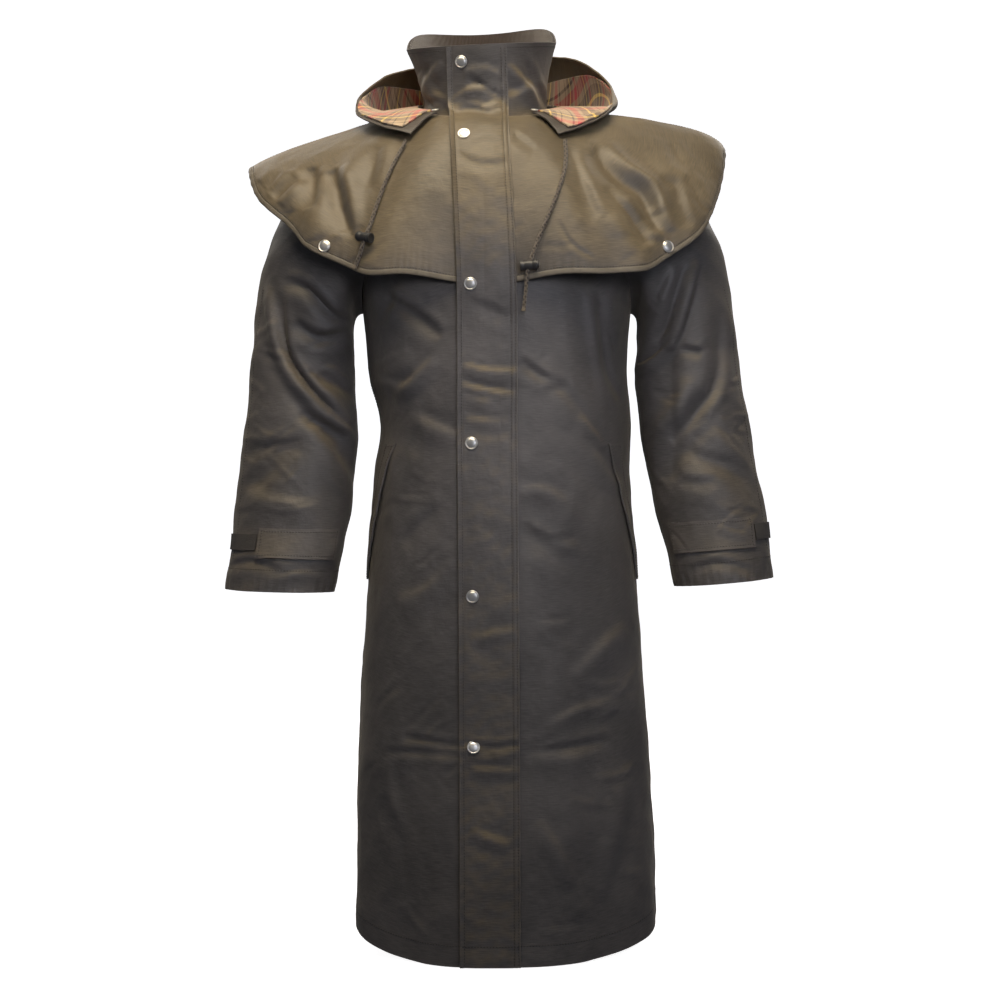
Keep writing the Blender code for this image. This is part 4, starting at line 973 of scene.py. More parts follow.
# Sleeves: two-piece set-in sleeves of the same cloth, slack at the elbow, with a long seam down the outside
# and a turned cuff. They are lined with a plain dark twill.
SLEEVE_SECTIONS = {
    RIGHT: np.array([
        (-0.670, -0.2965, -0.046, 0.0745, 0.0690, 0.002), (-0.609, -0.2880, -0.032, 0.0775, 0.0720, 0.002),
        (-0.530, -0.2790, -0.014, 0.0805, 0.0760, 0.002), (-0.441, -0.2715, 0.000, 0.0780, 0.0755, 0.004),
        (-0.345, -0.2705, 0.006, 0.0705, 0.0750, 0.012),
    ]),
    LEFT: np.array([
        (-0.658, 0.3135, -0.046, 0.0670, 0.0680, 0.006), (-0.600, 0.3050, -0.032, 0.0720, 0.0715, 0.006),
        (-0.525, 0.2910, -0.014, 0.0750, 0.0755, 0.005), (-0.430, 0.2760, 0.000, 0.0757, 0.0755, 0.005),
        (-0.345, 0.2650, 0.006, 0.0710, 0.0750, 0.012),
    ]),
}
# Slanting folds: angle, height, width, tallness, slant and depth
SLEEVE_FOLDS = {
    RIGHT: (
        (10, -0.300, 40, 0.030, 0.060, -0.007), (40, -0.415, 45, 0.026, -0.070, 0.007),
        (45, -0.465, 40, 0.026, -0.060, -0.007), (-30, -0.512, 45, 0.028, 0.050, -0.005),
        (190, -0.440, 55, 0.030, 0.040, -0.007), (170, -0.500, 55, 0.030, -0.040, 0.006),
    ),
    LEFT: (
        (5, -0.290, 40, 0.034, -0.060, -0.007), (-25, -0.420, 40, 0.030, 0.080, 0.006),
        (-20, -0.470, 45, 0.030, 0.070, -0.007), (25, -0.505, 45, 0.026, -0.040, -0.006),
        (175, -0.430, 55, 0.030, 0.040, -0.007), (190, -0.500, 55, 0.030, -0.040, 0.006),
    ),
}
SLEEVE_CREASES = {
    RIGHT: (
        (((-0.314, -0.250), (-0.308, -0.292), (-0.293, -0.347), (-0.264, -0.393), (-0.230, -0.427),
          (-0.185, -0.466)), 0.009, 0.0095),
        (((-0.294, -0.262), (-0.287, -0.337), (-0.261, -0.382), (-0.215, -0.430)), 0.009, -0.0085),
        (((-0.290, -0.245), (-0.258, -0.257), (-0.226, -0.288), (-0.200, -0.304)), 0.010, -0.0100),
        (((-0.274, -0.304), (-0.240, -0.323), (-0.198, -0.312)), 0.011, -0.0095),
        (((-0.240, -0.372), (-0.213, -0.386), (-0.186, -0.410)), 0.010, -0.0085),
        (((-0.264, -0.424), (-0.237, -0.442), (-0.204, -0.461)), 0.010, -0.0075),
        (((-0.350, -0.480), (-0.307, -0.473), (-0.265, -0.468)), 0.014, -0.0050),
        (((-0.352, -0.532), (-0.300, -0.552), (-0.236, -0.556)), 0.018, 0.0036),
        (((-0.370, -0.638), (-0.330, -0.628), (-0.290, -0.640)), 0.008, -0.0035),
        (((-0.300, -0.655), (-0.265, -0.646), (-0.235, -0.650)), 0.008, 0.0022),
    ),
    LEFT: (
        (((0.276, -0.220), (0.253, -0.302), (0.236, -0.342)), 0.009, 0.0100),
        (((0.260, -0.225), (0.236, -0.300), (0.218, -0.332)), 0.009, -0.0070),
        (((0.241, -0.330), (0.237, -0.407), (0.241, -0.463), (0.236, -0.520)), 0.018, -0.0060),
        (((0.309, -0.280), (0.305, -0.379), (0.274, -0.427), (0.240, -0.468)), 0.013, -0.0095),
        (((0.186, -0.364), (0.211, -0.358), (0.243, -0.328)), 0.008, 0.0080),
        (((0.252, -0.338), (0.281, -0.346)), 0.009, -0.0055),
        (((0.250, -0.470), (0.284, -0.490), (0.324, -0.498)), 0.014, -0.0024),
        (((0.250, -0.518), (0.275, -0.522), (0.300, -0.519)), 0.010, -0.0030),
        (((0.236, -0.230), (0.216, -0.276)), 0.010, -0.0060),
        (((0.262, -0.640), (0.300, -0.630), (0.345, -0.640)), 0.008, -0.0032),
    ),
}
SLEEVE_WRINKLES = {
    RIGHT: wrinkles(11, 30, (-0.36, -0.60), (-0.20, -0.26)),
    LEFT: wrinkles(12, 30, (0.21, -0.60), (0.37, -0.26)),
}
HEAD_THROW = 0.35
UNDERARM_THROW = 0.05
SLEEVE_TOP_STRAIGHT = 0.50
HEAD_DIP = 0.12
ARMHOLE_INSET = 0.0004
CUFF_HEM = 0.030
# How far sleeve cloth has to face up for its painted top light to start and to be whole
SLEEVE_PAINTED_LIGHT = (0.15, 0.80)
CUFF_GATHERS = 34
CUFF_GATHER_REACH = 0.030
CUFF_GATHER_DEPTH = 0.0006
SLEEVE_UNEVEN = (0.0020, 0.11, 21), (0.0005, 0.04, 22)
SLEEVE_RADIUS = 0.075
SLEEVE_ROWS, SLEEVE_HEAD_ROWS, SLEEVE_COLUMNS = 111, 61, 131
SLEEVE_SEAM_ANGLE = math.radians(62)
SLEEVE_SEAM_SPAN = (0.12, 1.35)
SLEEVE_SEAM_POINTS = 90
SLEEVE_SEAM_BESIDE = np.array([-0.02, 0, 0.02])


def sleeve_ring(side, height, angle):
    """A section of the sleeve below its head, with its slanting folds."""
    across, forward, wide, deep, tilt = table_at(SLEEVE_SECTIONS[side], height)
    swell = np.zeros(np.broadcast(height, angle).shape)
    for middle, level, width, tall, slant, depth in SLEEVE_FOLDS[side]:
        away = turned(angle - math.radians(middle))
        swell = swell + depth * hump(np.degrees(away), width) * hump(height - level - slant * away, tall)
    x = across + (wide + swell) * np.sin(angle)
    y = forward - (deep + swell) * np.cos(angle)
    return np.stack(np.broadcast_arrays(x, y, height + side * tilt * np.sin(angle)), axis=-1)


def sleeve_form(side, row, angle):
    """The sleeve's plain form. Row 0 is the cuff, 1 the end of the straight sleeve and 2 the armhole."""
    row, angle = arrays(row, angle)
    cuff, top = SLEEVE_SECTIONS[side][0, 0], SLEEVE_SECTIONS[side][-1, 0]
    lower = sleeve_ring(side, cuff + np.clip(row, -0.05, 1) * (top - cuff), angle)
    turn = math.pi / 2 + side * angle
    level = 1 + ARMHOLE_TOP * (1 - np.cos(turn)) / 2
    hole = body_form(level, side * (math.pi / 2 - ARMHOLE_HALF_ANGLE * np.sin(turn)))
    arm = side * math.pi / 2
    middle = (body_form(1.0, arm) + body_form(1 + ARMHOLE_TOP, arm)) / 2
    inward = middle - hole
    start = hole + inward / np.linalg.norm(inward, axis=-1, keepdims=True) * ARMHOLE_INSET
    s = np.clip(row - 1, 0, 1)[..., None]
    throw = UNDERARM_THROW + (HEAD_THROW - UNDERARM_THROW) * ((1 - np.cos(turn)) / 2)[..., None]
    leave = throw * np.array([side, 0, -HEAD_DIP])
    arrive = throw * np.array([0, 0, SLEEVE_TOP_STRAIGHT])
    head = (
        (1 + 2 * s) * (1 - s) ** 2 * lower
        + s * (1 - s) ** 2 * arrive
        + s**2 * (3 - 2 * s) * start
        - s**2 * (s - 1) * leave
    )
    return np.where((row <= 1)[..., None], lower, head)


def sleeve_cloth(side, row, angle):
    """The sleeve with the creases and unevenness of its cloth."""
    row, angle = arrays(row, angle)
    form = partial(sleeve_form, side)
    points, normal = form(row, angle), outward(form, row, angle)
    x, z = points[..., 0], points[..., 2]
    calm = np.clip((2 - row) * 5, 0, 1)
    arc = np.sin(angle) * SLEEVE_RADIUS
    depth = -np.cos(angle) * SLEEVE_RADIUS
    strewn = creases(x, z, SLEEVE_WRINKLES[side])
    ahead = creases(x, z, SLEEVE_CREASES[side]) + strewn
    move = ahead * front_share(normal) + strewn * front_share(-normal)
    coarse, fine = SLEEVE_UNEVEN
    move = move + crumple(arc + z * 0.3, z + depth, *coarse) + crumple(arc, z - depth, *fine)
    above = z - SLEEVE_SECTIONS[side][0, 0]
    gathers = np.sin(CUFF_GATHERS * angle + 2.0 * np.sin(3 * angle)) * hump(above, CUFF_GATHER_REACH)
    return points + normal * (move * calm + CUFF_GATHER_DEPTH * gathers)[..., None]


def dark_twill():
    """Plain dark lining twill with a slight gloss."""
    finish, shader = nodes_of("dark_twill_lining")
    lines = bias_lines(finish, coordinate(finish, "UV"), 320.0)
    tone = (lines, (0.020, 0.016, 0.013), (0.036, 0.029, 0.024))
    return complete(finish, shader, tone, (lines, 0.42, 0.58), (lines, 0.25, 0.0003))


sleeve_lining = dark_twill()
sleeve_rows = np.concatenate([np.linspace(0, 1, SLEEVE_ROWS)[:-1], np.linspace(1, 2, SLEEVE_HEAD_ROWS)])
for side, name in SIDE_NAMES.items():
    angles = -side * math.pi / 2 + np.linspace(0, 2 * math.pi, SLEEVE_COLUMNS)
    points = sleeve_cloth(side, *np.meshgrid(sleeve_rows, angles, indexing="ij"))
    points[:, -1] = points[:, 0]
    panel_name = f"sleeve_panel_{name}"
    panel = cloth_panel(panel_name, points, shell, lining=sleeve_lining, closed=True, fade=SLEEVE_PAINTED_LIGHT)
    seam_rows = np.linspace(*SLEEVE_SEAM_SPAN, SLEEVE_SEAM_POINTS)[:, None] + np.zeros(3)
    seam_points = sleeve_cloth(side, seam_rows, side * SLEEVE_SEAM_ANGLE + SLEEVE_SEAM_BESIDE)
    seam_out = grid_normals(seam_points)[:, 1]
    outer_seam = (seam_points[:, 1] + seam_out * CLOTH / 2, seam_out)
    seams = sew(f"sleeve_stitches_{name}", [seam_line(points, "low", CUFF_HEM), outer_seam])
    wear(panel, "shell", f"sleeve_{name}")


# Cuffs: a tab of shell cloth is sewn into the inner seam of each sleeve and closes across the front onto a
# strip of black hook tape.
TAB_HEIGHT = 0.041
TAB_MIDDLE = 0.065
TAB_SPANS = {RIGHT: (-62.0, 26.0), LEFT: (-62.0, 38.0)}
TAPE_HEIGHT = 0.022
TAPE_FROM_TAB = 2.0
TAPE_END = 86.0
TAPE_WALL = 0.0015
CUFF_LAY = 0.0009
TAB_STITCH_IN = 0.0045
TAB_GRID, TAPE_GRID = (18, 70), (14, 44)
TAB_DEEP, TAB_LIGHT = (0.059, 0.0525, 0.0485), (0.100, 0.089, 0.081)


def cuff_patch(side, degrees, tall, wall, rows, columns):
    """Points of a strip that lies round the front of a sleeve, above its cuff."""
    sections = SLEEVE_SECTIONS[side]
    length = sections[-1, 0] - sections[0, 0]
    seam = -side * math.pi / 2
    first, last = seam + (np.sort(np.radians(degrees) * side) - seam) % (2 * math.pi)
    low, high = (TAB_MIDDLE - tall / 2) / length, (TAB_MIDDLE + tall / 2) / length
    grid = np.meshgrid(np.linspace(low, high, rows), np.linspace(first, last, columns), indexing="ij")
    return lifted(partial(sleeve_cloth, side), *grid, (CLOTH + wall) / 2 + CUFF_LAY)


def hook_tape():
    """Black hook tape: rows of stiff little hooks on a woven ground."""
    finish, shader = nodes_of("hook_tape")
    inputs = {"Vector": coordinate(finish, "UV"), "Scale": 620.0, "Randomness": 0.25}
    hooks = put(finish, "TexVoronoi", inputs).outputs[0]
    tone = (hooks, (0.014, 0.012, 0.011), (0.070, 0.061, 0.054))
    return complete(finish, shader, tone, (hooks, 0.60, 0.95), (hooks, 1.0, 0.0009))


tape_finish = hook_tape()
tab_finish = proofed_cotton("proofed_cotton_tab", TAB_DEEP, TAB_LIGHT, gloss=0.50, painted_top_light=PAINTED_TOP_LIGHT_TONES)
for side, name in SIDE_NAMES.items():
    points = cuff_patch(side, TAB_SPANS[side], TAB_HEIGHT, CLOTH, *TAB_GRID)
    tab = cloth_panel(f"cuff_strap_{name}", points, tab_finish)
    seams = sew(f"cuff_strap_stitches_{name}", seam_lines(points, ALL_EDGES, TAB_STITCH_IN))
    tape_span = (TAB_SPANS[side][1] + TAPE_FROM_TAB, TAPE_END)
    tape_points = cuff_patch(side, tape_span, TAPE_HEIGHT, TAPE_WALL, *TAPE_GRID)
    tape = cloth_panel(f"hook_strip_{name}", tape_points, tape_finish, wall=TAPE_WALL)
    wear(tab, "shell", f"cuff_tab_{name}")
    wear(tape, "hook_tape", f"hook_tape_{name}")


# Pockets: a slanted welt on each front, folded double and stitched round, covers the mouth of a side pocket.
# Its front edge stands a little away from the coat along the middle.
POCKET_TOP = (-0.470, 52.0)
POCKET_BOTTOM = (-0.655, 77.0)
WELT_WIDE_ANGLE = 10.0
WELT_LIFT = CLOTH + 0.0007
MOUTH_GAPE = 0.0032
WELT_STITCH_IN = 0.004
WELT_ROWS, WELT_COLUMNS = 60, 16


def welt_points(side):
    down = np.linspace(1, 0, WELT_ROWS)[:, None]
    wide = np.linspace(0, 1, WELT_COLUMNS)[None, :]
    height = POCKET_TOP[0] + (POCKET_BOTTOM[0] - POCKET_TOP[0]) * down + 0 * wide
    mouth = POCKET_TOP[1] + (POCKET_BOTTOM[1] - POCKET_TOP[1]) * down
    angle = np.radians(mouth + WELT_WIDE_ANGLE * wide) * side
    hem = hem_height(angle)
    level = (height - hem) / (UNDERARM - hem)
    gape = MOUTH_GAPE * (1 - wide) ** 3 * np.sin(np.pi * down)
    return lifted(body_cloth, level, angle, WELT_LIFT + gape)[:, ::side]


for side, name in SIDE_NAMES.items():
    points = welt_points(side)
    welt = cloth_panel(f"pocket_flap_{name}", points, shell)
    seams = sew(f"pocket_stitches_{name}", seam_lines(points, ALL_EDGES, WELT_STITCH_IN))
    wear(welt, "shell", f"pocket_welt_{name}")


# Shoulder cape: three panels of shell cloth hang free from the neck seam over the shoulders, joined on top of
# each shoulder. They catch the light from above; their cloth is a warmer, lit copy of the shell with painted
# olive brown top light where it faces up.
CAPE_CREASES = (
    (((-0.222, -0.098), (-0.212, -0.138), (-0.200, -0.190)), 0.019, -0.0150),
    (((-0.250, -0.091), (-0.247, -0.155)), 0.016, -0.0115),
    (((-0.270, -0.106), (-0.302, -0.135)), 0.014, -0.0085),
    (((-0.295, -0.095), (-0.313, -0.118)), 0.008, -0.0035),
    (((-0.160, -0.064), (-0.174, -0.129)), 0.018, -0.0075),
    (((-0.202, -0.151), (-0.192, -0.198)), 0.009, -0.0040),
    (((0.133, -0.068), (0.147, -0.090), (0.171, -0.114), (0.196, -0.131), (0.209, -0.165), (0.214, -0.190)),
     0.021, -0.0165),
    (((0.145, -0.131), (0.171, -0.158), (0.188, -0.179), (0.205, -0.208)), 0.016, -0.0115),
    (((0.099, -0.074), (0.109, -0.111), (0.123, -0.153), (0.135, -0.174)), 0.014, -0.0050),
    (((0.220, -0.117), (0.242, -0.119), (0.248, -0.145), (0.258, -0.180)), 0.018, -0.0060),
    (((0.257, -0.107), (0.269, -0.126), (0.284, -0.158)), 0.014, -0.0045),
    (((0.241, -0.056), (0.257, -0.090)), 0.012, -0.0030),
    (((0.024, -0.059), (0.054, -0.078)), 0.009, -0.0028),
)
CAPE_BACK_CREASES = (
    (((-0.190, -0.080), (-0.170, -0.150), (-0.175, -0.210)), 0.014, -0.0055),
    (((-0.100, -0.120), (-0.085, -0.190), (-0.090, -0.250)), 0.016, 0.0045),
    (((0.110, -0.110), (0.095, -0.180), (0.100, -0.250)), 0.016, -0.0045),
    (((0.195, -0.085), (0.180, -0.150), (0.185, -0.205)), 0.014, 0.0050),
)
CAPE_WRINKLES = wrinkles(14, 16, (-0.31, -0.23), (0.31, -0.06))
CAPE_FRONT_ANGLE = 11.0
CAPE_SLACK = 1.05
# How far cape cloth has to face up for its painted top light to start and to be whole
CAPE_PAINTED_LIGHT = (-0.02, 0.34)
PUCKER_EVERY = 2.3
PUCKER_REACH = 0.06
PUCKER_DEPTH = 0.00060
BINDING_WIDE = 0.0075
BINDING_THICK = 0.0036
BINDING_OVER = 0.0020
BINDING_SET = 0.12
BINDING_ROUND = 0.7
BINDING_ROWS, BINDING_COLUMNS = 19, 480
CAPE_UNEVEN = (0.0014, 0.12, 31), (0.0003, 0.04, 32)
CAPE_ROWS, CAPE_ROW_CROWDING = 72, 1.15
CAPE_FRONT_COLUMNS, CAPE_BACK_COLUMNS = 170, 210
CAPE_HEM_IN = 0.0035
CAPE_SEAM_IN = 0.004


def cape_cloth(share, angle):
    """The cape with its creases, its unevenness and the puckers along its bound edge."""
    share, angle = arrays(share, angle)
    points, normal = cape_fall(share, angle), outward(cape_fall, np.clip(share, 0.002, 0.997), angle)
    x, y, z = (points[..., k] for k in range(3))
    ahead = np.clip(0.5 - 25 * y, 0, 1)
    move = CAPE_SLACK * creases(x, z, CAPE_CREASES) * ahead + creases(x, z, CAPE_BACK_CREASES) * (1 - ahead)
    move = move + creases(x, z, CAPE_WRINKLES)
    coarse, fine = CAPE_UNEVEN
    move = move + crumple(x + y, z - y, *coarse) + crumple(x - y, z + y, *fine)
    degrees = np.degrees(angle)
    gather = np.sin(2 * math.pi * degrees / PUCKER_EVERY + 1.5 * np.sin(degrees / 3.1))
    uneven = 0.6 + 0.4 * np.sin(degrees / 4.3)
    move = move + PUCKER_DEPTH * gather * uneven * np.exp(-np.clip(share, 0, 1) / PUCKER_REACH)
    return points + normal * (move * np.clip((1 - share) * 8, 0, 1))[..., None]


def folded_strip(name, points, finish):
    """A strip folded round an edge: a closed tube of points with its ends filled."""
    strip = woven_grid(name, points, run_lengths(points)[0])[0]
    join_corners()
    bpy.ops.mesh.fill_holes(sides=0)
    bpy.ops.mesh.select_all(action="SELECT")
    bpy.ops.mesh.normals_make_consistent(inside=False)
    bpy.ops.object.mode_set(mode="OBJECT")
    strip.data.materials.append(finish)
    bpy.ops.object.shade_smooth_by_angle(angle=CLOTH_SMOOTH)
    return strip


def binding_points(degrees):
    """A flat oval round the cape's edge at each angle."""
    angles = np.radians(degrees)
    edge = cape_cloth(np.zeros_like(angles), angles)
    down = cape_fall(np.zeros_like(angles), angles) - cape_fall(np.full_like(angles, BINDING_SET), angles)
    down /= np.linalg.norm(down, axis=1, keepdims=True)
    out = outward(cape_fall, np.full_like(angles, BINDING_SET), angles)
    out -= np.sum(out * down, axis=1, keepdims=True) * down
    out /= np.linalg.norm(out, axis=1, keepdims=True)
    middle = edge + down * (BINDING_WIDE / 2 - BINDING_OVER)
    turn = np.linspace(0, 2 * math.pi, BINDING_ROWS)[:, None, None]
    tall = np.sign(np.cos(turn)) * np.abs(np.cos(turn)) ** BINDING_ROUND * BINDING_WIDE / 2
    thick = np.sign(np.sin(turn)) * np.abs(np.sin(turn)) ** BINDING_ROUND * BINDING_THICK / 2
    points = middle + tall * down + thick * out
    points[-1] = points[0]
    return points


def bound_edge():
    """A smooth folded bias strip, paler where it is rubbed."""
    finish, shader = nodes_of("bound_edge")
    rubs = noise(finish, coordinate(finish, "Object"), 60.0, 4.0)
    lines = bias_lines(finish, coordinate(finish, "UV"), 400.0)
    tone = (rubs, (0.070, 0.058, 0.042), (0.130, 0.110, 0.080))
    shine = {"Specular IOR Level": 0.4}
    return complete(finish, shader, tone, (rubs, 0.45, 0.62), (lines, 0.25, 0.0003), shine)


# Painted light: a warmer, lit copy of the shell cloth for the cape and hood, in place of warm light from
# above
CAPE_LIT_DEEP, CAPE_LIT_LIGHT = (0.046, 0.0400, 0.0345), (0.084, 0.0720, 0.0600)
lit_copy_shell = proofed_cotton("proofed_cotton_lit_copy", CAPE_LIT_DEEP, CAPE_LIT_LIGHT, gloss=0.48, painted_top_light=PAINTED_TOP_LIGHT_TONES)
CAPE_LAST_ANGLE = 360 - CAPE_FRONT_ANGLE
CAPE_PANELS = {
    "front_left": (np.linspace(CAPE_FRONT_ANGLE, 90, CAPE_FRONT_COLUMNS), (0.430, 0.330), 0.096),
    "back": (np.linspace(90, 270, CAPE_BACK_COLUMNS), (0.800, 0.360), 0.200),
    "front_right": (np.linspace(270, CAPE_LAST_ANGLE, CAPE_FRONT_COLUMNS), (0.430, 0.330), 0.094),
}
cape_rows = np.linspace(0, 1, CAPE_ROWS) ** CAPE_ROW_CROWDING
for name, (degrees, flat, area) in CAPE_PANELS.items():
    points = cape_cloth(*np.meshgrid(cape_rows, np.radians(degrees), indexing="ij"))
    panel = cloth_panel(f"shoulder_cape_{name}", points, lit_copy_shell, fade=CAPE_PAINTED_LIGHT)
    shoulder_seams = SIDES if name == "back" else ()
    lines = [seam_line(points, "low", CAPE_HEM_IN), *seam_lines(points, shoulder_seams, CAPE_SEAM_IN)]
    seams = sew(f"cape_stitches_{name}", lines)
    wear(panel, "shell", f"cape_{name}")
points = binding_points(np.linspace(CAPE_FRONT_ANGLE, CAPE_LAST_ANGLE, BINDING_COLUMNS))
wear(folded_strip("cape_edge_binding", points, bound_edge()), "binding", "cape_binding")


# Collar: a tall stand collar of two thicknesses, topstitched along its upper edge, faced inside with dark
# brown corduroy.
COLLAR_LINE = -0.0205
COLLAR_HALF_WIDTH = 0.1040
COLLAR_FRONT = 0.0980
COLLAR_BACK = 0.0880
COLLAR_TOPS = (0.0690, 0.0890, 0.1260)
COLLAR_TOP_TILT = 0.0050
COLLAR_BACK_FULLNESS = 2.4
COLLAR_PINCH = 0.0030
COLLAR_FLARE = 1.3
COLLAR_OPENING = 0.5
COLLAR_SEAT = CLOTH / 2 + 0.0006
FACING_STEP = 0.0026
COLLAR_CREASES = (
    (((-0.104, 0.045), (-0.090, 0.018), (-0.071, -0.011)), 0.009, 0.0048),
    (((-0.120, 0.030), (-0.098, 0.008), (-0.085, -0.014)), 0.007, -0.0045),
    (((0.015, 0.044), (0.040, 0.020), (0.063, -0.009)), 0.009, 0.0048),
    (((0.046, 0.052), (0.060, 0.022), (0.072, -0.004)), 0.007, -0.0045),
    (((0.015, -0.003), (0.040, 0.010), (0.061, 0.033)), 0.012, 0.0040),
    (((0.038, 0.060), (0.045, 0.036), (0.057, 0.018)), 0.008, -0.0038),
    (((-0.104, 0.008), (-0.091, 0.033), (-0.074, 0.050)), 0.010, 0.0034),
    (((-0.095, 0.004), (-0.074, -0.005), (-0.063, -0.026)), 0.008, -0.0036),
)
# How far collar cloth has to face up for its painted top light to start and to be whole
COLLAR_PAINTED_LIGHT = (-0.14, 0.30)
COLLAR_UNEVEN = (0.0011, 0.07, 41), (0.0004, 0.03, 42)
COLLAR_SIZE = 0.1
COLLAR_ROWS, COLLAR_COLUMNS = 40, 190
COLLAR_STITCH_IN = 0.006
FACING_ROWS = 28
FACING_SPAN = (0.03, 0.985)


def collar_form(share, angle):
    """The collar's plain form. Share 0 is the neck seam and 1 the top edge."""
    share, angle = arrays(share, angle)
    s, c = np.sin(angle), np.cos(angle)
    base = neck_point(angle) + np.array([0, 0, COLLAR_SEAT])
    front, side, back = COLLAR_TOPS
    rise = 1 - (1 - np.clip(-c, 0, 1)) ** COLLAR_BACK_FULLNESS
    tall = side + COLLAR_TOP_TILT * s + (front - side) * np.clip(c, 0, 1) + (back - side) * rise
    depth = np.where(c > 0, COLLAR_FRONT, COLLAR_BACK)
    top = np.stack([COLLAR_LINE + COLLAR_HALF_WIDTH * s, -depth * c, tall], axis=-1)
    out = np.clip(share, 0, 1.05)[..., None]
    points = base + (top - base) * np.concatenate([out**COLLAR_FLARE, out**COLLAR_FLARE, out], axis=-1)
    pinch = COLLAR_PINCH * np.sin(math.pi * np.clip(share, 0, 1))
    points[..., 0] -= pinch * s
    points[..., 1] += pinch * c
    return points


def collar_cloth(share, angle):
    """The collar with its soft upright buckles."""
    share, angle = arrays(share, angle)
    arc, z = angle * COLLAR_SIZE, share * COLLAR_SIZE
    coarse, fine = COLLAR_UNEVEN
    move = crumple(arc, z * 0.5, *coarse) + crumple(arc, z, *fine)
    points = collar_form(share, angle)
    move = move + creases(points[..., 0], points[..., 2], COLLAR_CREASES) * (np.cos(angle) > 0)
    normal = outward(collar_form, np.clip(share, 0.01, 0.99), angle)
    return points + normal * (move * np.sin(math.pi * np.clip(share, 0, 1)) ** 0.5)[..., None]


def corduroy():
    """Fine brown corduroy: upright wales with a soft nap."""
    finish, shader = nodes_of("brown_corduroy")
    flat = coordinate(finish, "UV")
    wales = put(finish, "TexWave", {"Vector": flat, "Scale": 150.0}, bands_direction="X").outputs[1]
    nap = noise(finish, flat, 800.0, 3.0)
    tone = (wales, (0.014, 0.0085, 0.0065), (0.044, 0.028, 0.021))
    height = reckon(finish, "MULTIPLY_ADD", nap, 0.25, wales)
    sheen = {"Sheen Weight": 0.35, "Sheen Roughness": 0.4}
    return complete(finish, shader, tone, (nap, 0.80, 0.98), (height, 0.8, 0.0010), sheen)


collar_angles = np.radians(np.linspace(COLLAR_OPENING, 360 - COLLAR_OPENING, COLLAR_COLUMNS))
points = collar_cloth(*np.meshgrid(np.linspace(0, 1, COLLAR_ROWS), collar_angles, indexing="ij"))
collar = cloth_panel("stand_collar", points, shell, fade=COLLAR_PAINTED_LIGHT)
seams = sew("collar_stitches", [seam_line(points, "high", COLLAR_STITCH_IN)])
grid = np.meshgrid(np.linspace(*FACING_SPAN, FACING_ROWS), collar_angles, indexing="ij")
facing_panel = cloth_panel("collar_facing", lifted(collar_cloth, *grid, -FACING_STEP), corduroy())
wear(collar, "shell", "collar")
wear(facing_panel, "collar_lining", "collar_lining")


# Hood: it lies lowered round the collar, its mouth open to the front and its bag down the back. The shell
# turns in along the rim as a facing that holds the drawcord, and the rest is lined with brushed plaid cotton.
# Rim by angle: reach, height, bottom of the bag as a share of the cape, and swell
HOOD_SECTIONS = np.array([
    (43, 0.1460, -0.0545, 0.800, 0.000), (60, 0.1630, -0.0380, 0.770, 0.000),
    (74, 0.1790, -0.0170, 0.760, 0.003), (87, 0.1810, 0.0060, 0.750, 0.006),
    (97, 0.1800, 0.0320, 0.730, 0.009), (112, 0.1600, 0.0680, 0.660, 0.018),
    (133, 0.1430, 0.0880, 0.520, 0.026), (155, 0.1340, 0.0950, 0.390, 0.036),
    (180, 0.1300, 0.0960, 0.310, 0.040),
])
HOOD_LEAN = 0.006
HOOD_TILT = 0.011
HOOD_TILT_FROM = -0.054
HOOD_TILT_OVER = 0.100
HOOD_FRONT_ANGLE = 43.0
HOOD_SEAM = 0.955
HOOD_STAND = 0.0027
HOOD_LIFT = 0.004
HOOD_SWELL_POWER = 0.8
HOOD_LINING_STEP = 0.0030
HOOD_INNER_ROWS, HOOD_OUTER_ROWS = 30, 48
HOOD_FACING_ROWS, HOOD_FACING_COLUMNS = 8, 4
HOOD_ROUND = 0.165
HOOD_CHANNEL = 0.022
HOOD_COLUMNS = 180
HOOD_UNEVEN = (0.0022, 0.07, 51), (0.0008, 0.03, 52)
HOOD_UNEVEN_RADIUS, HOOD_UNEVEN_HEIGHT = 0.16, 0.09
HOOD_PLAID_BIAS = 38
# Slack folds of the bag where it hangs down the back
HOOD_CREASES = (
    (((-0.115, 0.060), (-0.075, -0.020), (-0.025, -0.095)), 0.016, -0.0085),
    (((0.100, 0.070), (0.072, -0.010), (0.032, -0.085)), 0.016, -0.0085),
    (((-0.050, 0.075), (-0.032, 0.015), (-0.036, -0.050)), 0.014, 0.0060),
    (((0.026, 0.070), (0.040, 0.000), (0.020, -0.055)), 0.014, -0.0060),
    (((-0.140, 0.005), (-0.100, -0.060), (-0.050, -0.110)), 0.012, 0.0070),
    (((0.135, 0.010), (0.105, -0.060), (0.055, -0.115)), 0.012, 0.0070),
    (((-0.090, -0.030), (-0.045, -0.062), (0.000, -0.070)), 0.011, -0.0050),
    (((0.095, -0.035), (0.050, -0.052), (0.005, -0.088)), 0.011, -0.0050),
)


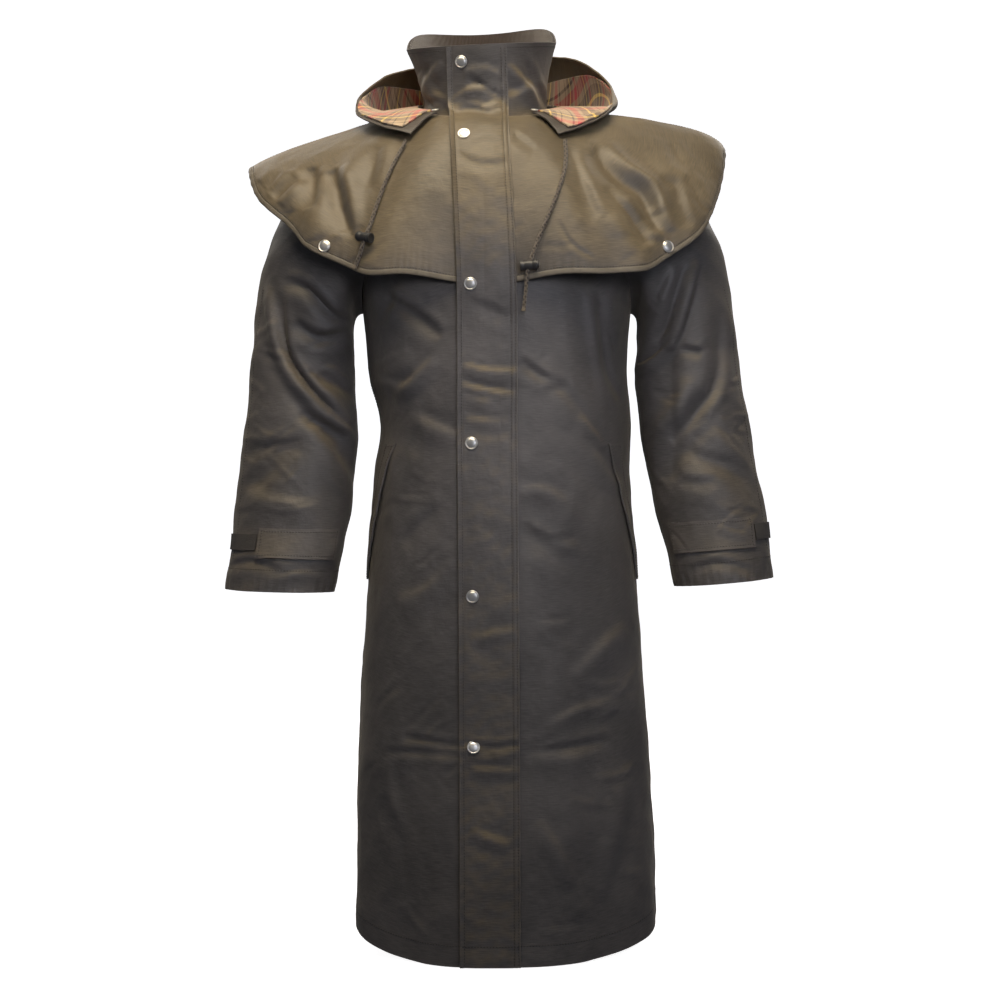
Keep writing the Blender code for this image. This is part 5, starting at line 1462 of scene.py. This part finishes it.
def hood_form(row, angle):
    """The lowered hood. Row 0 is its neck seam, 1 the bottom of its bag and 2 its rim."""
    row, angle = arrays(row, angle)
    reach, height, bottom, bulge = table_at(HOOD_SECTIONS, np.degrees(np.abs(turned(angle))))
    raised = np.clip((height - HOOD_TILT_FROM) / HOOD_TILT_OVER, 0, 1)
    height = height + HOOD_TILT * np.sin(angle) * raised
    reach = reach - HOOD_LEAN * (1 + np.sin(angle)) / 2 * raised
    inner_row = np.clip(row, 0, 1)
    stand = HOOD_STAND + CLOTH / 2
    inner_share = HOOD_SEAM + (bottom - HOOD_SEAM) * inner_row
    inner = lifted(cape_fall, inner_share, angle, stand + HOOD_LIFT * inner_row)
    low = lifted(cape_fall, bottom, angle, stand + HOOD_LIFT)
    high = np.stack([NECK_LINE + reach * np.sin(angle), -reach * np.cos(angle), height], axis=-1)
    out = np.stack([np.sin(angle), -np.cos(angle), 0 * angle], axis=-1)
    climb = np.clip(row - 1, 0, 1)[..., None]
    swell = np.sin(math.pi * climb) ** HOOD_SWELL_POWER * bulge[..., None]
    return np.where((row <= 1)[..., None], inner, low + (high - low) * climb + out * swell)


def inset(points, step):
    """A grid moved into its hollow, with its corners mitred so that every wall keeps its step."""
    along = np.gradient(points, axis=1)
    walls = np.cross(along[:-1] + along[1:], np.diff(points, axis=0))
    walls /= -np.linalg.norm(walls, axis=-1, keepdims=True)
    before = np.concatenate([walls[:1], walls])
    after = np.concatenate([walls, walls[-1:]])
    agree = np.sum(before * after, axis=-1, keepdims=True)
    return points + (before + after) / (1 + agree) * step


hood_angles = np.radians(np.linspace(HOOD_FRONT_ANGLE, 360 - HOOD_FRONT_ANGLE, HOOD_COLUMNS))
hood_rows = np.concatenate([
    np.linspace(0, 1, HOOD_INNER_ROWS + 1)[:-1], np.linspace(1, 2, HOOD_OUTER_ROWS + 1),
])
rows, turns = np.meshgrid(hood_rows, hood_angles, indexing="ij")
points = hood_form(rows, turns)
outer = np.clip(rows - 1, 0, 1)
slack = outer * (1 - 0.5 * outer)
arc, rise = turns * HOOD_UNEVEN_RADIUS, rows * HOOD_UNEVEN_HEIGHT
coarse, fine = HOOD_UNEVEN
ripple = crumple(arc, rise, *coarse) + crumple(arc, rise, *fine)
behind = np.clip(20 * points[..., 1] - 0.6, 0, 1)
behind = behind * np.clip(6 * (rows - 1), 0, 1) * np.clip(8 * (2 - rows), 0, 1)
ripple = ripple * slack + behind * creases(points[..., 0], points[..., 2], HOOD_CREASES)
points = points + grid_normals(points) * ripple[..., None]
hood_plaid = plaid_cotton("plaid_hood_lining", HOOD_PLAID_BIAS)
hood = cloth_panel("lowered_hood", points, lit_copy_shell)
lines = [seam_line(points, "high", HOOD_CHANNEL)]
hood_out, middle = grid_normals(points), len(hood_angles) // 2
for column in (middle - 2, middle + 1):
    outer_run = np.s_[HOOD_INNER_ROWS + 2 : -HOOD_FACING_ROWS, column]
    lines.append((points[outer_run] + hood_out[outer_run] * CLOTH / 2, hood_out[outer_run]))
seams = sew("hood_stitches", lines)
inner_part = np.s_[:-HOOD_FACING_ROWS, HOOD_FACING_COLUMNS:-HOOD_FACING_COLUMNS]
bag = inset(points, HOOD_LINING_STEP)[inner_part]
hood_lining = cloth_panel("hood_plaid_lining", bag, hood_plaid, lay=HOOD_ROUND * turns[inner_part])
wear(hood, "shell", "hood")
wear(hood_lining, "check_lining", "hood_lining")


# Storm flap: a strip as long as the coat, folded double, covers the front opening. Its left edge is sewn down
# with two rows of stitches, and its right edge is free and closes with snaps.
FLAP_LINES = np.array([
    (-1.160, -0.0065), (-0.870, -0.0078), (-0.470, -0.0105), (-0.260, -0.0118), (-0.050, -0.0215),
    (0.075, -0.0258),
])
FLAP_WIDTH = 0.078
FLAP_LIFT = CLOTH + 0.0011
FLAP_BELOW_CAPE = -0.305
FLAP_BELOW_BINDING = -0.014
FLAP_EDGE_LIFT = 0.0040
FLAP_SOFTEN = 14
# How far flap cloth has to face up for its painted top light to start and to be whole
FLAP_PAINTED_LIGHT = (0.01, 0.24)
FLAP_SEWN_ROWS = (0.0025, 0.0085)
FLAP_FREE_ROW = 0.0060
SEAM_SINK = 0.0007
SEAM_SINK_WIDTH = 0.0016
FLAP_UNEVEN = (0.0006, 0.07, 61), (0.0004, 0.028, 62)
FLAP_ROWS, FLAP_COLUMNS = 300, 71
FLAP_FREE_SHARE = 0.14
FLAP_UNDER_ANGLES = np.radians(np.linspace(-40, 40, 121))
FLAP_CAPE_ROWS, FLAP_COLLAR_ROWS = 50, 26
FLAP_COLLAR_SPAN = (0.12, 0.99)
FLAP_CREASES = (
    (((-0.046, -0.386), (-0.008, -0.396), (0.027, -0.400)), 0.006, -0.0030),
    (((-0.046, -0.370), (-0.008, -0.378), (0.027, -0.378)), 0.008, 0.0030),
    (((-0.043, -0.404), (0.006, -0.412)), 0.006, -0.0018),
    (((-0.042, -0.863), (-0.008, -0.869), (0.034, -0.865)), 0.006, -0.0030),
    (((-0.039, -0.877), (0.006, -0.877)), 0.005, -0.0018),
    (((-0.034, -0.898), (0.032, -0.903)), 0.008, 0.0020),
    (((-0.053, -0.087), (-0.021, -0.103), (0.021, -0.100)), 0.010, -0.0022),
    (((-0.034, -0.284), (0.021, -0.307)), 0.010, -0.0022),
    (((-0.040, -0.441), (0.006, -0.446)), 0.008, 0.0018),
    (((-0.034, -0.730), (0.027, -0.717)), 0.010, 0.0018),
    (((-0.034, -0.979), (0.019, -0.999)), 0.010, 0.0020),
    (((-0.044, 0.033), (-0.019, 0.037), (0.009, 0.027)), 0.009, 0.0026),
    (((-0.038, 0.029), (-0.015, 0.014), (0.011, -0.001)), 0.007, -0.0030),
    (((-0.059, -0.003), (-0.030, 0.010), (-0.002, 0.010)), 0.008, 0.0030),
    (((-0.060, -0.028), (-0.032, -0.018), (0.006, -0.035)), 0.009, -0.0034),
    (((-0.020, -0.020), (0.000, -0.012), (0.014, -0.022)), 0.007, 0.0022),
    (((-0.034, -0.075), (-0.010, -0.069), (0.014, -0.082)), 0.009, -0.0024),
)


def flap_base(across):
    """Places under the flap, from the hem up over the fronts, the cape and the collar."""
    angles = FLAP_UNDER_ANGLES
    stack = [(body_form, level) for level in body_levels() if body_form(level, 0.0)[2] < FLAP_BELOW_CAPE]
    stack += [(cape_fall, share) for share in (FLAP_BELOW_BINDING, *np.linspace(0, 1, FLAP_CAPE_ROWS))]
    stack += [(collar_form, share) for share in np.linspace(*FLAP_COLLAR_SPAN, FLAP_COLLAR_ROWS)]
    rows = []
    for surface, row in stack:
        line = surface(np.full_like(angles, row), angles)
        middle = table_at(FLAP_LINES, float(surface(row, 0.0)[2]))[0]
        x = middle + across * FLAP_WIDTH
        rows.append(np.stack([x] + [np.interp(x, line[:, 0], line[:, k]) for k in (1, 2)], axis=-1))
    return np.array(rows)


def evened(points, count):
    """A grid with its rows spread evenly up its columns and its kinks softened."""
    run = run_lengths(points)[1].mean(axis=1)
    at = np.linspace(0, run[-1], count)
    even = np.stack([at_run(at, run, points[:, column]) for column in range(points.shape[1])], axis=1)
    for _ in range(FLAP_SOFTEN):
        even[1:-1] = (even[:-2] + 2 * even[1:-1] + even[2:]) / 4
    return even


across = np.linspace(-0.5, 0.5, FLAP_COLUMNS)
points = evened(flap_base(across), FLAP_ROWS)
normal = grid_normals(points)
x, z = points[..., 0], points[..., 2]
free_edge = np.clip(1 - (across + 0.5) / FLAP_FREE_SHARE, 0, 1) ** 2
lift = FLAP_LIFT + FLAP_EDGE_LIFT * free_edge + creases(x, z, FLAP_CREASES)
coarse, fine = FLAP_UNEVEN
lift = lift + crumple(x * 1.4, z, *coarse) + crumple(x, z, *fine)
for row in (FLAP_FREE_ROW, *(FLAP_WIDTH - inward for inward in FLAP_SEWN_ROWS)):
    lift = lift - SEAM_SINK * np.exp(-(((across + 0.5) * FLAP_WIDTH - row) / SEAM_SINK_WIDTH) ** 2)
body_move = creases(x, z, FRONT_CREASES) * np.clip((FLAP_BELOW_CAPE - z) * 30, 0, 1)
points = points + normal * (lift + body_move)[..., None]
flap = cloth_panel("storm_flap_strip", points, shell, fade=FLAP_PAINTED_LIGHT)
flap_points, flap_normals = points, grid_normals(points)
lines = [seam_line(points, "last", inward) for inward in FLAP_SEWN_ROWS]
lines += [seam_line(points, "first", FLAP_FREE_ROW), seam_line(points, "low", HEM_DEPTH)]
seams = sew("flap_stitches", lines)
wear(flap, "shell", "storm_flap")


# Snaps: nickel caps with a raised rim, a groove and a shallow dome. Six close the flap, two hold the corners
# of the cape and two small ones hold the hood to the neck.
SNAP_RADIUS = 0.0084
SNAP_FOOT = 0.0014
SNAP_IN_FROM_EDGE = 0.0175
FLAP_SNAP_HEIGHTS = (0.047, -0.058, -0.261, -0.470, -0.672, -0.871)
CAPE_SNAP_SHARE = 0.065
CAPE_SNAP_ANGLES = {RIGHT: -58.0, LEFT: 62.0}
HOOD_SNAP_SIZE = 0.6
HOOD_SNAP_ROW = 0.16
HOOD_SNAP_OUT = HOOD_LINING_STEP + 0.0006
# Steps of the cap from its rim in: inward as a share of the radius, and up in metres
SNAP_STEPS = (
    (0.08, 0.0005), (0.08, -0.0001), (0.05, -0.0004), (0.06, 0.0005), (0.14, 0.0004), (0.18, 0.0003),
    (0.20, 0.0002),
)


def make_snap():
    """One snap cap: a disc whose face is stepped in and up to a dome."""
    bpy.ops.mesh.primitive_cylinder_add(vertices=40, radius=SNAP_RADIUS, depth=SNAP_FOOT)
    cap = bpy.context.object
    bpy.ops.object.mode_set(mode="EDIT")
    pick(lambda place: place.z > SNAP_FOOT * 0.4, "FACE")
    for inward, rise in SNAP_STEPS:
        bpy.ops.mesh.inset(thickness=SNAP_RADIUS * inward)
        bpy.ops.transform.translate(value=(0, 0, rise))
    bpy.ops.object.mode_set(mode="OBJECT")
    soften(cap, 3, 55)
    return cap


def nickel():
    """Bright nickel plate, clouded by handling and finely scratched."""
    finish, shader = nodes_of("nickel_plate")
    place = coordinate(finish, "Object")
    haze = noise(finish, place, 260.0, 4.0)
    scratch = put(finish, "Mapping", {"Vector": place, "Scale": (2600.0, 300.0, 700.0)})
    marks = noise(finish, scratch.outputs[0], 1.0)
    tone = (haze, (0.62, 0.60, 0.56), (0.82, 0.80, 0.76))
    return complete(finish, shader, tone, (haze, 0.30, 0.46), (marks, 0.12, 0.0001), {"Metallic": 1.0})


def set_snap(name, node, place, normal, size=1.0):
    cap = copy_of(first_snap, name)
    seat = place + normal * (CLOTH / 2 + SNAP_FOOT * size * 0.45)
    settle(cap, facing(seat, normal) @ Matrix.Scale(size, 4))
    cap.data.materials.append(plate)
    wear(cap, "snap", node)


plate = nickel()
first_snap = make_snap()
snap_column = int(round(SNAP_IN_FROM_EDGE / FLAP_WIDTH * (len(across) - 1)))
for number, height in enumerate(FLAP_SNAP_HEIGHTS, start=1):
    row = int(np.argmin(np.abs(flap_points[:, snap_column, 2] - height)))
    place, out = flap_points[row, snap_column], flap_normals[row, snap_column]
    set_snap(f"front_snap_{number}", f"flap_snap_{number}", place, out)
for side, name in SIDE_NAMES.items():
    share, angle = np.array(CAPE_SNAP_SHARE), np.array(math.radians(CAPE_SNAP_ANGLES[side]))
    place, out = cape_cloth(share, angle), outward(cape_fall, share, angle)
    set_snap(f"cape_corner_snap_{name}", f"cape_snap_{name}", place, out)
    angle = np.array(side * math.radians(HOOD_FRONT_ANGLE))
    out = outward(cape_fall, np.array(HOOD_SEAM), angle)
    place = hood_form(np.array(HOOD_SNAP_ROW), angle) + out * HOOD_SNAP_OUT
    set_snap(f"hood_neck_snap_{name}", f"hood_snap_{name}", place, out, HOOD_SNAP_SIZE)
bpy.data.objects.remove(first_snap)


# Studio: a plain white floor under the hem and a white surround, a broad warm light overhead, a weak cool
# one in front, a small matt one on the chest and two behind, so that the shoulders are bright and the
# skirt falls off.
FLOOR_DROP = 0.0015
FLOOR_RADIUS = 9.0
SURROUND_RADIUS = 16.0


def studio_white(name, glow):
    finish, shader = nodes_of(name)
    patches = noise(finish, coordinate(finish, "Object"), 0.8)
    shine = {"Emission Strength": glow, "Emission Color": (1.0, 1.0, 1.0)}
    tone = (patches, (0.90, 0.90, 0.90), (0.93, 0.93, 0.93))
    return complete(finish, shader, tone, (patches, 0.9, 0.9), more=shine)


def soft_light(name, place, target, size, power, tint, spread=180):
    lamp = bpy.data.lights.new(name, "AREA")
    lamp.spread = math.radians(spread)
    lamp.shape = "RECTANGLE"
    lamp.size, lamp.size_y = size
    lamp.energy = power
    lamp.color = tint
    made = bpy.data.objects.new(name, lamp)
    bpy.context.scene.collection.objects.link(made)
    made.location = place
    made.rotation_euler = (Vector(target) - Vector(place)).to_track_quat("-Z", "Y").to_euler()
    return made


bpy.ops.mesh.primitive_circle_add(
    vertices=96, radius=FLOOR_RADIUS, fill_type="NGON", location=(0, 0, cad_low.z - FLOOR_DROP)
)
floor = bpy.context.object
floor.name = "studio_floor"
floor.data.materials.append(studio_white("floor_white", 0.95))
bpy.ops.mesh.primitive_uv_sphere_add(segments=48, ring_count=24, radius=SURROUND_RADIUS)
surround = bpy.context.object
surround.name = "studio_surround"
surround.data.materials.append(studio_white("surround_white", 1.0))
for stage_piece in (floor, surround):
    stage_piece.visible_diffuse = False
    stage_piece.visible_glossy = False
    stage_piece.visible_shadow = False
floor.visible_shadow = True
WARM, COOL, NEUTRAL, BACK_WARM = (1.0, 0.87, 0.66), (0.78, 0.84, 1.0), (0.97, 0.96, 1.0), (1.0, 0.94, 0.86)
CHEST_SPREAD = 44
soft_light("overhead", (-0.10, -0.72, 1.05), (0.0, -0.12, -0.45), (1.1, 0.7), 31, WARM)
soft_light("front_fill", (0.75, -1.75, 0.05), (0.0, -0.1, -0.40), (1.0, 0.9), 6.3, COOL)
chest_fill = soft_light(
    "chest_fill", (0.20, -1.70, -0.02), (0.01, -0.15, -0.34), (0.5, 0.5), 1.0, NEUTRAL, CHEST_SPREAD
)
chest_fill.visible_glossy = False
for name, x in (("behind_left", 1.5), ("behind_right", -1.5)):
    soft_light(name, (x, 1.7, 1.4), (0.0, 0.1, -0.4), (1.2, 1.4), 22, BACK_WARM)
world = bpy.data.worlds.new("studio_air")
world.use_nodes = True
air = world.node_tree.nodes["Background"]
air.inputs["Color"].default_value = (0.86, 0.89, 1.0, 1.0)
air.inputs["Strength"].default_value = 0.13
bpy.context.scene.world = world
bpy.context.scene.view_settings.view_transform = "Standard"
